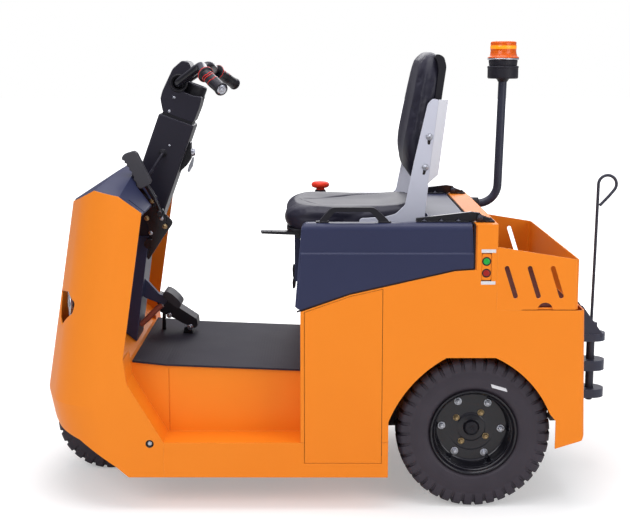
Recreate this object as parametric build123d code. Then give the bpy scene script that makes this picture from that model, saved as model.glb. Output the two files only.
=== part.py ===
from build123d import *
import os
from math import cos, sin, tan, radians, sqrt

# Sit-on electric tow tractor on three wheels. Millimetres, +X forward, +Y to the driver's left, +Z up.
# Everything is laid out from the ground under the rear axle's middle, and moved once when it is saved.

# Whole vehicle
body_width = 780.0
wheelbase = 1035.0
sheet = 4.0               # bodywork plate
half = body_width / 2

# Wheels
rear_tyre_r = 207.5
rear_tyre_w = 108.0
wheel_inset = 26.0        # tyre's side inside the body's side
rim_r = 115.5             # 8 inch rim over its flange
rear_lugs = 40
front_tyre_r = 150.0
front_tyre_w = 90.0
front_rim_r = 70.0
front_lugs = 26
rear_lug_depth = 11.0
front_lug_depth = 8.0
rear_track = body_width - rear_tyre_w - 2 * wheel_inset
axle_z = rear_tyre_r
front_axle_z = front_tyre_r
bolt_circle_r = 81.0      # rim clamp bolts
nut_circle_r = 50.0       # wheel nuts
wheel_dish = 57.0         # disc behind the rim's outer flange
hub_r = 62.0
axle_tube_r = 40.0
axle_shaft_r = 16.0

# Front shroud
nose_x = 1195.0           # foremost point
nose_z = 287.0            # height of the fold that is foremost
nose_lean = 9.1           # degrees, front plate above the fold
chin_lean = 11.5          # degrees, front plate below the fold
nose_bow_r = 800.0
nose_corner_r = 150.0
sill_bottom = 93.0
crest_x = 1004.0
crest_z = 861.0
shoulder_x = 936.0
shoulder_z = 849.0
dash_rear_x = 876.0
dash_rear_z = 806.0
flank_rear_z = 415.0
flank_lean = 8.5
lamp_z = 542.0
lamp_r = 40.0
ramp_x = 926.0
ramp_z = 349.0

# Sill, ledge and floor
sill_top = 189.0
ledge_w = 110.0           # step beside the raised floor
sill_inner_y = half - ledge_w
sill_front_x = 831.0
floor_rear_x = 467.0
floor_rear_z = 361.0
floor_mid_x = 833.0
floor_mid_z = 375.0
floor_front_x = 936.0
floor_front_z = 386.0
mat_half = sill_inner_y + 8
mat_t = 5.0
toe_x = 1080.0
toe_z = 500.0
arch_front_x = 231.0

# Front wheel housing and steering
well_half = 172.0
well_rear_x = 866.0
well_front_x = 1110.0
head_plate_z = 392.0
head_plate_t = 12.0
kingpin_r = 25.0
kingpin_housing_r = 42.0
running = 0.3             # between faces that turn in each other
fork_gap = 11.0           # tyre to fork
fork_t = 8.0
fork_w = 60.0
steer_joint_z = 431.0     # where the column's axis meets the kingpin's
column_lean = 20.0

# Steering column, measured along its axis from that joint
column_half_u = 52.0
column_half_y = 64.0
column_low = 236.0
column_top = 639.0
head_low = 645.0
steering_shaft_r = 14.0
head_half_y = 58.0
bar_r = 13.0
bar_w = 736.0
bar_u = 28.0
gauge_r = 31.0
grip_r = 17.0
pedestal_half = 71.0
pedestal_top = 700.0

# Rear body
body_front_x = 465.0
body_rear_top_x = -282.0
body_rear_bottom_x = -292.0
body_rear_bottom_z = 198.0
arch_top_z = 422.0
arch_bow = 20.0           # how far the opening's slanted edges bend out
fold_r = 15.0             # outside of a folded corner at the rear
fold_x = -240.0
arch_inner_y = rear_track / 2 - rear_tyre_w / 2 - 12
house_front_x = 235.0     # wheel house round the tyre
house_rear_x = -238.0
house_top_z = 436.0
house_t = 3.0
shelf_z = 550.0           # tray floor
deck_z = 778.0            # top of the body behind the hood
cover_x = (248.0, 455.0)  # lift-out side cover
cover_low_z = 132.0
belt = ((465.0, 545.0), (335.0, 591.0), (61.0, 654.0), (4.0, 658.0))      # top of the side walls: x, z
belt_gap = 4.0            # from the side wall to the hood above it and the cover below
deck_front_x = 8.0
deck_rear_x = -50.0
tray_rear_x = -265.0
tray_front_z = 718.0
tray_rear_z = 684.0
tray_seam = 2.0
slot_w = 12.5
slot_pitch = 60.0

# Hood over the battery
hood_half = half - 2
hood_front_x = 479.0
hood_rear_x = 13.0
hood_wall = 5.0
hood_crease_z = 699.0     # the sides stand proud below this
hood_step = 3.0
hood_edge_r = 18.0
hood_rail_w = 45.0        # hood's top beside the seat well
hood_roof_gap = 14.0      # from the hood's sides to the hollow inside, clear of the rounded edge
well_y = hood_half - hood_rail_w
seat_well_rear_x = 120.0
seat_well_z = 708.0
hinge_x = -6.0
hinge_z = 791.0
hinge_y = hood_half - 47
hinge_pin_r = 5.0

# Battery
battery_x = (246.0, 450.0)
battery_z = (142.0, 600.0)
battery_half = half - 35
bulkhead_x = 238.0

# Seat
seat_half = 225.0
bracket_y = 203.0
bracket_t = 5.0

# Beacon
pole_y = 90.0 - half
pole_r = 13.0
pole_z = 752.0
pole_x = -150.0
beacon_z = 1137.0
beacon_top = 1251.0

# Towing coupling
jaw_x = -425.0
pin_x = -384.0
pin_r = 12.0
pin_low = 203.0
pin_top = 436.0
jaw_half = 38.0
jaws = ((216.0, 241.0), (297.0, 327.0), (385.0, 407.0))    # bottom, top of each jaw
rod_r = 4.5
loop_top = 868.0
loop_rear_x = -444.0

centre_x = (nose_x + loop_rear_x - rod_r) / 2              # middle of the overall length
os.makedirs("parts", exist_ok=True)


def save(name, shape):
    placed = Pos(-centre_x, 0, 0) * shape
    export_step(placed if isinstance(placed, Compound) else Compound(children=[placed]), f"parts/{name}.step")


def solids_of(*shapes):
    found = []
    for shape in shapes:
        found += list(shape.solids())
    return Compound(children=found)


def side_face(points):
    return make_face(Polyline(*[(x, 0, z) for x, z in points], close=True))


def side_plate(points, y_low, y_high):
    # an outline in side view, as thick as y_low to y_high
    return extrude(Pos(0, y_low, 0) * side_face(points), amount=y_high - y_low, dir=(0, 1, 0))


def bent_face(points, bows):
    # an outline in side view: the edges after the points numbered in bows bend that far to the left of travel
    edges = []
    for i, (x, z) in enumerate(points):
        next_x, next_z = points[(i + 1) % len(points)]
        start, end = Vector(x, 0, z), Vector(next_x, 0, next_z)
        if i in bows:
            left = Vector(z - next_z, 0, next_x - x).normalized()
            edges.append(ThreePointArc(start, (start + end) / 2 + left * bows[i], end))
        else:
            edges.append(Line(start, end))
    return make_face(Wire(edges))


def bent_plate(points, bows, y_low, y_high):
    return extrude(Pos(0, y_low, 0) * bent_face(points, bows), amount=y_high - y_low, dir=(0, 1, 0))


def belt_z(x):
    # height of the side wall's top edge
    for (front_x, front_z), (rear_x, rear_z) in zip(belt[:-1], belt[1:]):
        if x >= rear_x:
            return rear_z + (x - rear_x) * (front_z - rear_z) / (front_x - rear_x)
    return belt[-1][1]


def rear_x(z):
    # outer face of the leaning rear plate
    low_z = body_rear_bottom_z + 12
    return body_rear_bottom_x + (z - low_z) * (body_rear_top_x - body_rear_bottom_x) / (shelf_z - low_z)


def floor_z(x):
    # height of the floor plate under the mat
    if x < floor_mid_x:
        return floor_rear_z + (x - floor_rear_x) * (floor_mid_z - floor_rear_z) / (floor_mid_x - floor_rear_x)
    return floor_mid_z + (x - floor_mid_x) * (floor_front_z - floor_mid_z) / (floor_front_x - floor_mid_x)


def block(x, y, z):
    # a box from pairs of low and high values
    size = (x[1] - x[0], y[1] - y[0], z[1] - z[0])
    return Pos((x[0] + x[1]) / 2, (y[0] + y[1]) / 2, (z[0] + z[1]) / 2) * Box(*size)


def both_sides(shape):
    return solids_of(shape, mirror(shape, about=Plane.XZ))


def upright(radius, z_low, z_high):
    return Pos(0, 0, (z_low + z_high) / 2) * Cylinder(radius, z_high - z_low)


def crosswise(radius, y_low, y_high):
    return Pos(0, (y_low + y_high) / 2, 0) * Rot(90, 0, 0) * Cylinder(radius, y_high - y_low)


def tube_along(points, radius, bends):
    path = FilletPolyline(*points, radius=bends)
    return sweep(Plane(origin=path @ 0, z_dir=path % 0) * Circle(radius), path=path)


# Front shroud


def nose_plan(inset):
    # plan of the shroud at the fold, drawn in by a wall
    width = half - inset
    reach = nose_x - inset
    bow = nose_bow_r - inset
    corner_x = reach - bow + sqrt(bow ** 2 - width ** 2)
    back = dash_rear_x - 200
    outline = [Line((back, -width), (corner_x, -width)),
               ThreePointArc((corner_x, -width), (reach, 0), (corner_x, width)),
               Line((corner_x, width), (back, width)),
               Line((back, width), (back, -width))]
    plan = make_face(Wire(outline))
    corners = plan.vertices().filter_by(lambda v: v.X > back + 1)
    return fillet(corners, nose_corner_r - inset)


def nose_prism(inset):
    plan = Pos(0, 0, nose_z) * nose_plan(inset)
    rise = crest_z - nose_z + 60
    drop = nose_z - sill_bottom + 5
    upper = extrude(plan, amount=rise / cos(radians(nose_lean)),
                    dir=(-sin(radians(nose_lean)), 0, cos(radians(nose_lean))))
    lower = extrude(plan, amount=drop / cos(radians(chin_lean)),
                    dir=(-sin(radians(chin_lean)), 0, -cos(radians(chin_lean))))
    return upper + lower


def flank_outline():
    rear_x = dash_rear_x + (dash_rear_z - flank_rear_z) * tan(radians(flank_lean))
    slope = (crest_z - shoulder_z + 21) / 60
    return [(sill_front_x, sill_bottom), (sill_front_x, sill_top), (ramp_x, ramp_z), (rear_x, flank_rear_z),
            (dash_rear_x, dash_rear_z), (shoulder_x, shoulder_z), (crest_x, crest_z),
            (nose_x + 60, crest_z - slope * (nose_x + 60 - crest_x)),
            (nose_x + 60, nose_z - 40), (1139, 216), (1058, 191), (958, 121), (926, sill_bottom)]


def headlamp_cut(side):
    # a drop-shaped opening round the corner of the nose, pointed at the bottom
    points = [(150, 560), (300, 583), (343, 560), (338, 530), (272, 484), (210, 500)]
    face = make_face(Polyline(*[(0, side * y, z) for y, z in points], close=True))
    rounded = fillet(face.vertices(), 12)
    return extrude(Pos(nose_x - 160, 0, 0) * rounded, amount=240, dir=(1, 0, 0))


def front_shroud():
    shell = nose_prism(0) - nose_prism(sheet)
    body = shell & side_plate(flank_outline(), -half, half)
    for side in (-1, 1):
        body -= headlamp_cut(side)
    hole = Pos(868, 0, 186) * crosswise(11, -half - 5, half + 5)
    return body - hole


def headlamps():
    # a round lamp on its bracket behind each opening
    lamps = []
    for side in (-1, 1):
        shape = revolve(make_face(Polyline((0, 0), (0, lamp_r - 4), (-8, lamp_r), (-40, lamp_r - 14), (-52, 13), (-52, 0),
                                           close=True)), Axis.X, 360)
        low, high = sorted((side * 248, side * 262))
        post = block((toe_x + 4, toe_x + 10), (low, high), (head_plate_z + head_plate_t, lamp_z - 22))
        foot = block((toe_x + 4, toe_x + 26), (low, high), (head_plate_z + head_plate_t, head_plate_z + head_plate_t + 5))
        lamps.append((Pos(toe_x + 14, side * 255, lamp_z) * Rot(0, 0, side * 14) * shape) + post + foot)
    return solids_of(*lamps)


# Chassis: sills, ledges, floor and the front wheel's housing


def kingpin_housing():
    low = front_axle_z + front_tyre_r + 8 + 12 + 4
    body = upright(kingpin_housing_r, low, head_plate_z) + upright(kingpin_housing_r + 20, head_plate_z - 10,
                                                                 head_plate_z)
    body -= upright(kingpin_r + running, low - 5, head_plate_z + 5)
    return Pos(wheelbase, 0, 0) * body


def chassis_frame():
    ramp = [(floor_rear_x - 2, sill_top - sheet), (sill_front_x + 2, sill_top - sheet),
            (ramp_x + sheet, ramp_z), (ramp_x + sheet + 7, flank_rear_z), (ramp_x + 7, flank_rear_z),
            (ramp_x, ramp_z + 1), (sill_front_x, sill_top), (floor_rear_x - 2, sill_top)]
    ledge = side_plate(ramp, sill_inner_y, half - sheet)
    cover_rear, cover_front = cover_x
    outer = side_plate([(arch_front_x, sill_bottom), (sill_front_x, sill_bottom), (sill_front_x, sill_top),
                        (cover_front, sill_top), (cover_front, cover_low_z), (cover_rear, cover_low_z),
                        (cover_rear, sill_top), (arch_front_x, sill_top)], half - sheet, half)
    bottom = block((arch_front_x, 900), (sill_inner_y - sheet, half - sheet), (sill_bottom, sill_bottom + sheet))
    inner = [(body_front_x, sill_bottom + sheet), (body_front_x, floor_rear_z), (floor_rear_x, floor_rear_z),
             (floor_mid_x, floor_mid_z), (floor_front_x, floor_front_z), (well_front_x, floor_front_z),
             (1058, 191), (958, 121), (900, sill_bottom + sheet)]
    wall = side_plate(inner, sill_inner_y - sheet, sill_inner_y)
    seam = block((floor_mid_x - 8, floor_mid_x - 6), (sill_inner_y - 1.5, sill_inner_y + 1), (sill_top, floor_mid_z))
    side = ledge + outer + bottom + (wall - seam)
    floor = side_plate([(floor_rear_x, floor_rear_z), (floor_mid_x, floor_mid_z), (floor_front_x, floor_front_z),
                        (toe_x, toe_z), (toe_x + 2, toe_z - 5), (floor_front_x + 1, floor_front_z - 5),
                        (floor_mid_x, floor_mid_z - 5), (floor_rear_x, floor_rear_z - 5)],
                       -sill_inner_y, sill_inner_y)
    toe_side = side_plate([(ramp_x + 9, floor_front_z), (toe_x, toe_z), (toe_x + 2, toe_z - 5),
                           (ramp_x + 9, floor_front_z - 6)], sill_inner_y, half - sheet) & nose_prism(sheet + 0.5)
    frame = floor
    for part in (side, mirror(side, about=Plane.XZ), toe_side, mirror(toe_side, about=Plane.XZ)):
        frame += part
    well_top = head_plate_z
    cheek = [(well_rear_x - sheet, sill_bottom + 17), (well_rear_x - sheet, floor_mid_z - 5),
             (floor_front_x, floor_front_z - 5), (960, head_plate_z), (well_front_x, head_plate_z),
             (well_front_x, 250), (1020, sill_bottom + 90)]
    for y in (-well_half - sheet, well_half):
        frame += side_plate(cheek, y, y + sheet)
    frame += block((well_rear_x - sheet, well_rear_x), (-sill_inner_y, sill_inner_y),
                   (sill_bottom + 17, floor_mid_z - 6))
    plate = block((962, well_front_x), (-sill_inner_y, sill_inner_y), (well_top, well_top + head_plate_t))
    frame += plate
    bore = Pos(wheelbase, 0, 0) * upright(kingpin_housing_r - 8, well_top - 5, well_top + head_plate_t + 5)
    frame -= bore
    frame += kingpin_housing()
    for x in (floor_rear_x - 6, 640):
        frame += block((x, x + 30), (-sill_inner_y, sill_inner_y), (sill_bottom + sheet, sill_bottom + 2 * sheet))
    frame += block((arch_front_x, floor_rear_x), (-sill_inner_y, sill_inner_y), (battery_z[0] - 6, battery_z[0]))
    for y in (-sill_inner_y, sill_inner_y - sheet):
        frame += block((arch_front_x, body_front_x), (y, y + sheet), (sill_bottom + sheet, battery_z[0] - 6))
    return frame


def mat_outline(below):
    # side view of the mat, or of the mat and the floor under it
    xs = (floor_rear_x, floor_mid_x, ramp_x - 2)
    top = [(x, floor_z(x) + mat_t) for x in xs]
    return top + [(x, floor_z(x) - below) for x in reversed(xs)]


def floor_mat():
    return side_plate(mat_outline(0), -mat_half, mat_half)


# Dash and column


def column_place():
    # frame on the column's axis: x forward across it, z up along it
    return Pos(wheelbase, 0, steer_joint_z) * Rot(0, -column_lean, 0)


def column_block():
    body = block((-column_half_u, column_half_u), (-column_half_y, column_half_y), (column_low, column_top))
    body = fillet(body.edges().filter_by(Axis.Z), 12)
    return fillet(body.faces().sort_by(Axis.Z)[-1].edges(), 8)


def column_housing():
    pocket = Pos(8, column_half_y, 548) * crosswise(12, -8, 5)
    bore = upright(steering_shaft_r + running, column_top - 31, column_top + 5)
    return column_place() * (column_block() - pocket - bore)


def column_pedestal():
    lean = tan(radians(flank_lean - 1))
    rear_low = 942.0
    rear_high = rear_low - (pedestal_top - floor_front_z) * lean
    outline = [(rear_low, floor_front_z + 8), (rear_high, pedestal_top), (1004, pedestal_top), (1040, 560),
               (1040, 474)]
    body = side_plate(outline, -pedestal_half, pedestal_half)
    inner = block((-column_half_u, column_half_u), (-column_half_y, column_half_y), (column_low, column_top))
    return body - column_place() * inner


def dash_section(y, points):
    return make_face(Polyline(*[(x, y, z) for x, z in points], close=True))


def dash_cowl():
    # hipped moulding between the flanks, highest in front of the column
    side_y = half - sheet - 1
    middle = [(1118, 775), (1118, 800), (975, 893), (930, 893), (874, 806), (874, 781)]
    flank = [(1118, 770), (1118, 792), (crest_x, crest_z - 4), (shoulder_x, shoulder_z - 4),
             (dash_rear_x + 3, dash_rear_z - 5), (dash_rear_x + 3, dash_rear_z - 30)]
    sections = [dash_section(-side_y, flank), dash_section(-110, middle), dash_section(110, middle),
                dash_section(side_y, flank)]
    pieces = []
    for first, second in zip(sections[:-1], sections[1:]):
        pieces.append(loft([first, second], ruled=True))
    solid = pieces[0] + pieces[1] + pieces[2]
    skin = solid - Pos(0, 0, -5) * solid
    skin = skin & nose_prism(sheet + 0.5)
    skin -= column_place() * block((-column_half_u - 2, column_half_u + 2), (-column_half_y - 2, column_half_y + 2),
                                   (300, 700))
    skin -= block((850, 918), (148, 194), (700, 950))
    skin -= Pos(888, 330, 0) * Rot(0, 0, 20) * block((-30, 30), (-5, 5), (700, 950))
    return skin


def head_housing():
    # the turning head: a cowl in front of the bar, and a shelf for the gauge
    outline = [(-47, head_low), (-48, 720), (14.5, 720), (14.5, 746), (8, 790), (26, 801), (40, 797), (57, 766), (63, 685),
               (44, head_low)]
    body = side_plate(outline, -head_half_y, head_half_y)
    body = fillet(body.edges().filter_by(Axis.Y).sort_by(Axis.Z)[-4:], 6)
    body -= Pos(bar_u, 0, bar_w) * crosswise(bar_r + 3, -head_half_y - 5, -30)
    body -= Pos(bar_u, 0, bar_w) * crosswise(bar_r + 3, 30, head_half_y + 5)
    body -= Pos(bar_u, 0, bar_w) * crosswise(bar_r, -31, 31)
    body += upright(steering_shaft_r, column_top - 30, head_low + 5)
    return column_place() * body


def gauge():
    ring = Pos(-17, 0, 0) * upright(gauge_r, 720, 745)
    return column_place() * (ring - Pos(-17, 0, 0) * upright(gauge_r - 4, 741, 750))


def bar_route(side):
    return [(bar_u, 0, bar_w), (bar_u, side * 72, bar_w), (-22, side * 122, 807), (-41, side * 195, 793)]


def grip_axis(side):
    # inner and outer end of a grip
    return (-41, side * 195, 793), (-105, side * 280, 772)


def handlebar():
    arms = []
    for side in (-1, 1):
        inner, outer = grip_axis(side)
        points = bar_route(side)
        reach = [inner[i] + 0.97 * (outer[i] - inner[i]) for i in range(3)]
        arms.append(tube_along(points + [tuple(reach)], bar_r, (28, 30, 22)))
    return column_place() * (arms[0] + arms[1])


def handlebar_grips():
    grips = []
    for side in (-1, 1):
        inner, outer = (Vector(*p) for p in grip_axis(side))
        line = outer - inner
        start = inner + line * 0.12
        sleeve = Plane(origin=start, z_dir=line) * Pos(0, 0, line.length / 2) * Cylinder(grip_r, line.length)
        bar = Plane(origin=inner, z_dir=line) * Pos(0, 0, line.length * 0.485) * Cylinder(bar_r, line.length * 0.97)
        grips.append(sleeve - bar)
    return column_place() * solids_of(*grips)


def key_switch():
    # a sloped bracket on the column's rear face, with the lock barrel and its key
    bracket = side_plate([(-column_half_u, 500), (-column_half_u, 553), (-88, 558), (-92, 534)], -26, 26)
    barrel = Pos(-90, 0, 546) * Rot(0, -80, 0) * (upright(11, 0, 14) + upright(7, 14, 18))
    blade = Pos(-114, 0, 544) * Box(14, 3, 8)
    bow = Pos(-126, 0, 542) * crosswise(11, -1.5, 1.5)
    return column_place() * (bracket + barrel + blade + bow)


def direction_lever():
    rod = tube_along([(8, column_half_y - 6, 548), (8, column_half_y + 16, 548), (24, column_half_y + 26, 486)], 4.5,
                     (10,))
    return column_place() * rod


def parking_brake():
    plate = side_plate([(912, 828), (901, 830), (828, 753), (856, 709), (898, 654), (925, 690), (925, 800)], 150, 156)
    post = Pos(890, 0, 680) * crosswise(14, pedestal_half, 150)
    lever_y = 170.0
    pivot = Pos(856, 0, 778) * crosswise(13, 156, lever_y + 8)
    rod = tube_along([(856, lever_y, 778), (872, lever_y, 815), (892, lever_y, 858)], 6, (60,))
    fingers = 5
    front = [(908 + 46 * i / fingers, 854 + 88 * i / fingers) for i in range(fingers + 1)]
    bows = {i + 2: -4.0 for i in range(fingers)}
    grip = bent_plate([(881, 860), (900, 849), *front, (950, 950), (928, 954), (907, 899)], bows,
                      lever_y - 17, lever_y + 17)
    grip = fillet(grip.faces().sort_by(Axis.Y)[0].edges() + grip.faces().sort_by(Axis.Y)[-1].edges(), 3)
    return plate + post + pivot + rod + grip


def brake_pedal():
    y = 30.0
    pad = side_plate([(815, 508), (826, 532), (848, 551), (866, 553), (877, 545), (863, 527), (843, 509), (823, 496)],
                     y - 41, y + 41)
    pad = fillet(pad.edges().filter_by(Axis.Y), 4)
    arm = side_plate([(856, 524), (883, 536), (926, 574), (926, 532), (878, 501), (862, 512)], y - 9, y + 9)
    cylinder = tube_along([(905, y, 470), (880, y, 484), (866, y, 507)], 9, (30,))
    return (pad + arm + cylinder) - column_pedestal()


def accelerator_pedal():
    y = -130.0
    pad = side_plate([(792, 410), (794, 436), (861, 479), (893, 498), (900, 474), (868, 434), (838, 417), (811, 404)],
                     y - 36, y + 36)
    pad = fillet(pad.edges().filter_by(Axis.Y), 3)
    foot = block((798, 822), (y - 30, y + 30), (floor_mid_z - 2, floor_mid_z + 30))
    hinge = Pos(810, 0, 407) * crosswise(8, y - 40, y + 40)
    prop = block((862, 874), (y - 6, y + 6), (floor_mid_z + 2, 440))
    return pad + (foot + hinge + prop - side_plate(mat_outline(20), -mat_half, mat_half))


# Wheels


def lug_ring(radius, depth, count, y_low, y_high, turn):
    # a toothed disc: the lugs of one half of a tread and the groove floors between them
    pitch = 360.0 / count
    points = []
    for i in range(count):
        start = turn + i * pitch
        for share, r in ((0.0, radius), (0.62, radius), (0.68, radius - depth), (0.94, radius - depth)):
            angle = radians(start + share * pitch)
            points.append((r * cos(angle), r * sin(angle)))
    return extrude(Pos(0, y_low, 0) * side_face(points), amount=y_high - y_low, dir=(0, 1, 0))


def tyre(radius, width, rim_edge_r, bead, lugs, depth):
    # the bead sits between the rim's flanges and the walls bulge over them
    w = width / 2
    root = radius - depth
    middle = (rim_edge_r + root) / 2 + 4
    half_profile = [(bead, rim_edge_r - 13), (bead, rim_edge_r + 1), (w - 1, rim_edge_r + 7), (w, middle),
                    (w - 9, root - 6), (w - 14, root - 3)]
    profile = half_profile + [(-y, r) for y, r in reversed(half_profile)]
    face = make_face(Polyline(*[(0, y, r) for y, r in profile], close=True))
    body = revolve(face, Axis.Y, 360)
    ring = crosswise(radius + 5, -w, w) - crosswise(root - 20, -w - 1, w + 1)
    for low, high, turn in ((-w + 6, 0, 0.0), (0, w - 6, 180.0 / lugs)):
        teeth = lug_ring(radius, depth, lugs, low, high, turn)
        body += teeth & ring
    return body


def rear_rim(side):
    # split rim with a dished disc, clamp bolts, wheel nuts and hub cap, outer side towards +Y
    flange_y = rear_tyre_w / 2 - 14
    disc_y = flange_y - wheel_dish
    seat = rim_r - 13
    profile = [(-flange_y, seat - 4), (-flange_y, rim_r), (-flange_y + 5, rim_r), (-flange_y + 5, seat),
               (flange_y - 5, seat), (flange_y - 5, rim_r), (flange_y, rim_r), (flange_y, seat - 2),
               (flange_y - 14, seat - 5), (disc_y + 10, seat - 7), (disc_y, seat - 14), (disc_y, 0),
               (disc_y - 9, 0), (disc_y - 9, seat - 8), (-flange_y, seat - 8)]
    face = make_face(Polyline(*[(0, y, r) for y, r in profile], close=True))
    rim = revolve(face, Axis.Y, 360)
    rim += crosswise(26, disc_y - 2, disc_y + 12) + crosswise(axle_shaft_r, disc_y - 45, disc_y - 5)
    for count, circle, size, first in ((6, bolt_circle_r, 8.5, 0.0), (4, nut_circle_r, 8.0, 57.0)):
        for i in range(count):
            angle = radians(first + i * 360 / count)
            head = extrude(RegularPolygon(size, 6), amount=12)
            rim += Pos(circle * cos(angle), disc_y - 1, circle * sin(angle)) * Rot(-90, 0, 0) * head
    return rim if side > 0 else mirror(rim, about=Plane.XZ)


def front_rim():
    w = front_tyre_w / 2 - 13
    seat = front_rim_r - 13
    profile = [(-w, front_rim_r), (-w + 5, front_rim_r), (-w + 5, seat), (w - 5, seat), (w - 5, front_rim_r),
               (w, front_rim_r), (w, seat - 4), (6, seat - 8), (6, 30), (w + 2, 30), (w + 2, 12.5 + running),
               (-w - 2, 12.5 + running), (-w - 2, 30), (-6, 30), (-6, seat - 8), (-w, seat - 4)]
    face = make_face(Polyline(*[(0, y, r) for y, r in profile], close=True))
    return Pos(wheelbase, 0, front_axle_z) * revolve(face, Axis.Y, 360)


def front_fork():
    inner = front_tyre_w / 2 + fork_gap
    crown_z = front_axle_z + front_tyre_r + 8
    crown = Pos(wheelbase, 0, 0) * block((-fork_w / 2, fork_w / 2), (-inner - fork_t, inner + fork_t),
                                         (crown_z, crown_z + 12))
    stem = Pos(wheelbase, 0, 0) * upright(kingpin_r, crown_z + 10, head_plate_z + head_plate_t)
    arm_face = [(wheelbase - fork_w / 2, crown_z + 6), (wheelbase + fork_w / 2, crown_z + 6),
                (wheelbase + fork_w / 2, crown_z - 40), (wheelbase + 24, front_axle_z - 20),
                (wheelbase - 24, front_axle_z - 20), (wheelbase - fork_w / 2, crown_z - 40)]
    axle = Pos(wheelbase, 0, front_axle_z) * crosswise(12.5, -inner - fork_t - 12, inner + fork_t + 12)
    nut = extrude(RegularPolygon(18, 6), amount=12)
    fork = crown + stem + axle
    for side in (-1, 1):
        y = inner if side > 0 else -inner - fork_t
        fork += side_plate(arm_face, y, y + fork_t)
        fork += Pos(wheelbase, side * (inner + fork_t), front_axle_z) * Rot(-90 * side, 0, 0) * nut
    return fork


def rear_axle():
    hub_y = rear_track / 2 + rear_tyre_w / 2 - 14 - wheel_dish - 9 - 1
    tube = crosswise(axle_tube_r, -hub_y + 30, hub_y - 30) + crosswise(112, -62, 48)
    for side in (-1, 1):
        low, high = sorted((side * (hub_y - 46), side * hub_y))
        tube += crosswise(hub_r, low, high)
    tube -= crosswise(axle_shaft_r + running, hub_y - 46, hub_y + 5)
    tube -= crosswise(axle_shaft_r + running, -hub_y - 5, -hub_y + 46)
    motor = Pos(0, -8, 0) * Rot(0, 90, 0) * upright(85, 60, 226)
    return Pos(0, 0, axle_z) * (tube + motor)


def rear_frame():
    # rails over the axle with saddles on it, a cross member, and the bulkhead behind the battery
    rear_z = axle_z + 58
    lean = (body_rear_top_x - body_rear_bottom_x) / (shelf_z - body_rear_bottom_z - 12)
    rail_outline = [(bulkhead_x, rear_z + 60), (bulkhead_x, rear_z)]
    for z in (rear_z, rear_z + 60):
        rail_outline.append((body_rear_top_x + sheet - (shelf_z - z) * lean, z))
    frame = block((bulkhead_x, bulkhead_x + sheet), (-sill_inner_y, sill_inner_y), (battery_z[0], 480))
    frame += block((-252, -214), (-226, 226), (rear_z - 34, rear_z + 4))
    for side in (-1, 1):
        low, high = sorted((side * 186, side * 226))
        frame += side_plate(rail_outline, low, high)
        saddle = block((-34, 34), (low, high), (axle_z + 36, rear_z + 2))
        frame += saddle - Pos(0, 0, axle_z) * crosswise(axle_tube_r, -300, 300)
    return frame


# Rear body


def arch_points():
    # the wheel opening from its front foot round to its rear foot
    return [(arch_front_x, sill_bottom), (arch_front_x, 247), (79, arch_top_z), (-51, arch_top_z), (-198, 269),
            (-214, 250), (-214, 173)]


def side_wall(y_low, y_high):
    # the side's outline from its front foot over the top and the rear, and back along the wheel opening
    upper = [(body_front_x, sill_top + 1), *belt, (belt[-1][0], deck_z - sheet), (deck_rear_x, deck_z - sheet),
             (deck_rear_x, shelf_z), (body_rear_top_x, shelf_z), (body_rear_bottom_x, body_rear_bottom_z + 12),
             (body_rear_bottom_x + 6, body_rear_bottom_z - 2)]
    arch = list(reversed(arch_points()))[:-1]
    bows = {len(upper) + 2: arch_bow, len(upper) + 4: arch_bow}
    return bent_plate(upper + arch + [(arch_front_x, sill_top + 1)], bows, y_low, y_high)


def wheel_houses():
    # behind the walls: a strip clear of the tyre, and a cheek inside it
    foot = axle_z + 45
    house = [(house_front_x, foot), (house_front_x, 262), (92, house_top_z), (-82, house_top_z),
             (house_rear_x, 272), (house_rear_x, foot)]
    bows = {1: -arch_bow / 2, 3: -arch_bow / 2}
    inside = bent_plate(house, bows, arch_inner_y, half - sheet)
    low_y = arch_inner_y - house_t
    grown = offset(bent_face(house, bows), amount=house_t, kind=Kind.INTERSECTION)
    outside = extrude(Pos(0, low_y, 0) * grown, amount=half - sheet - low_y, dir=(0, 1, 0))
    shell = outside - inside - block((-400, 400), (0, half), (foot - 20, foot))
    return both_sides(shell - Pos(0, 0, axle_z) * crosswise(hub_r + 8, 0, half))


def side_cover_outline(seam):
    rear, front = cover_x[0] + seam, cover_x[1] - seam
    low = cover_low_z + seam
    bend_x = belt[1][0]
    top = [(x, belt_z(x) - belt_gap - seam) for x in (front, bend_x, rear)]
    return [(rear, low), (front, low)] + top


def folded_rear():
    # the leaning rear plate with its folded corners, as far forward as the folds reach
    low = body_rear_bottom_z - 40
    forms = []
    for wall, beyond in ((0, 0), (sheet, 5)):
        outline = [(fold_x + beyond, low - beyond), (fold_x + beyond, shelf_z + beyond),
                   (rear_x(shelf_z + beyond) + wall, shelf_z + beyond), (rear_x(low - beyond) + wall, low - beyond)]
        form = side_plate(outline, -half + wall, half - wall)
        corners = form.edges().filter_by(lambda e: e.center().X < body_rear_top_x + wall
                                         and abs(e.center().Y) > half - wall - 1)
        forms.append(fillet(corners, fold_r - wall))
    return (forms[0] - forms[1]) & side_wall(-half, half)


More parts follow.
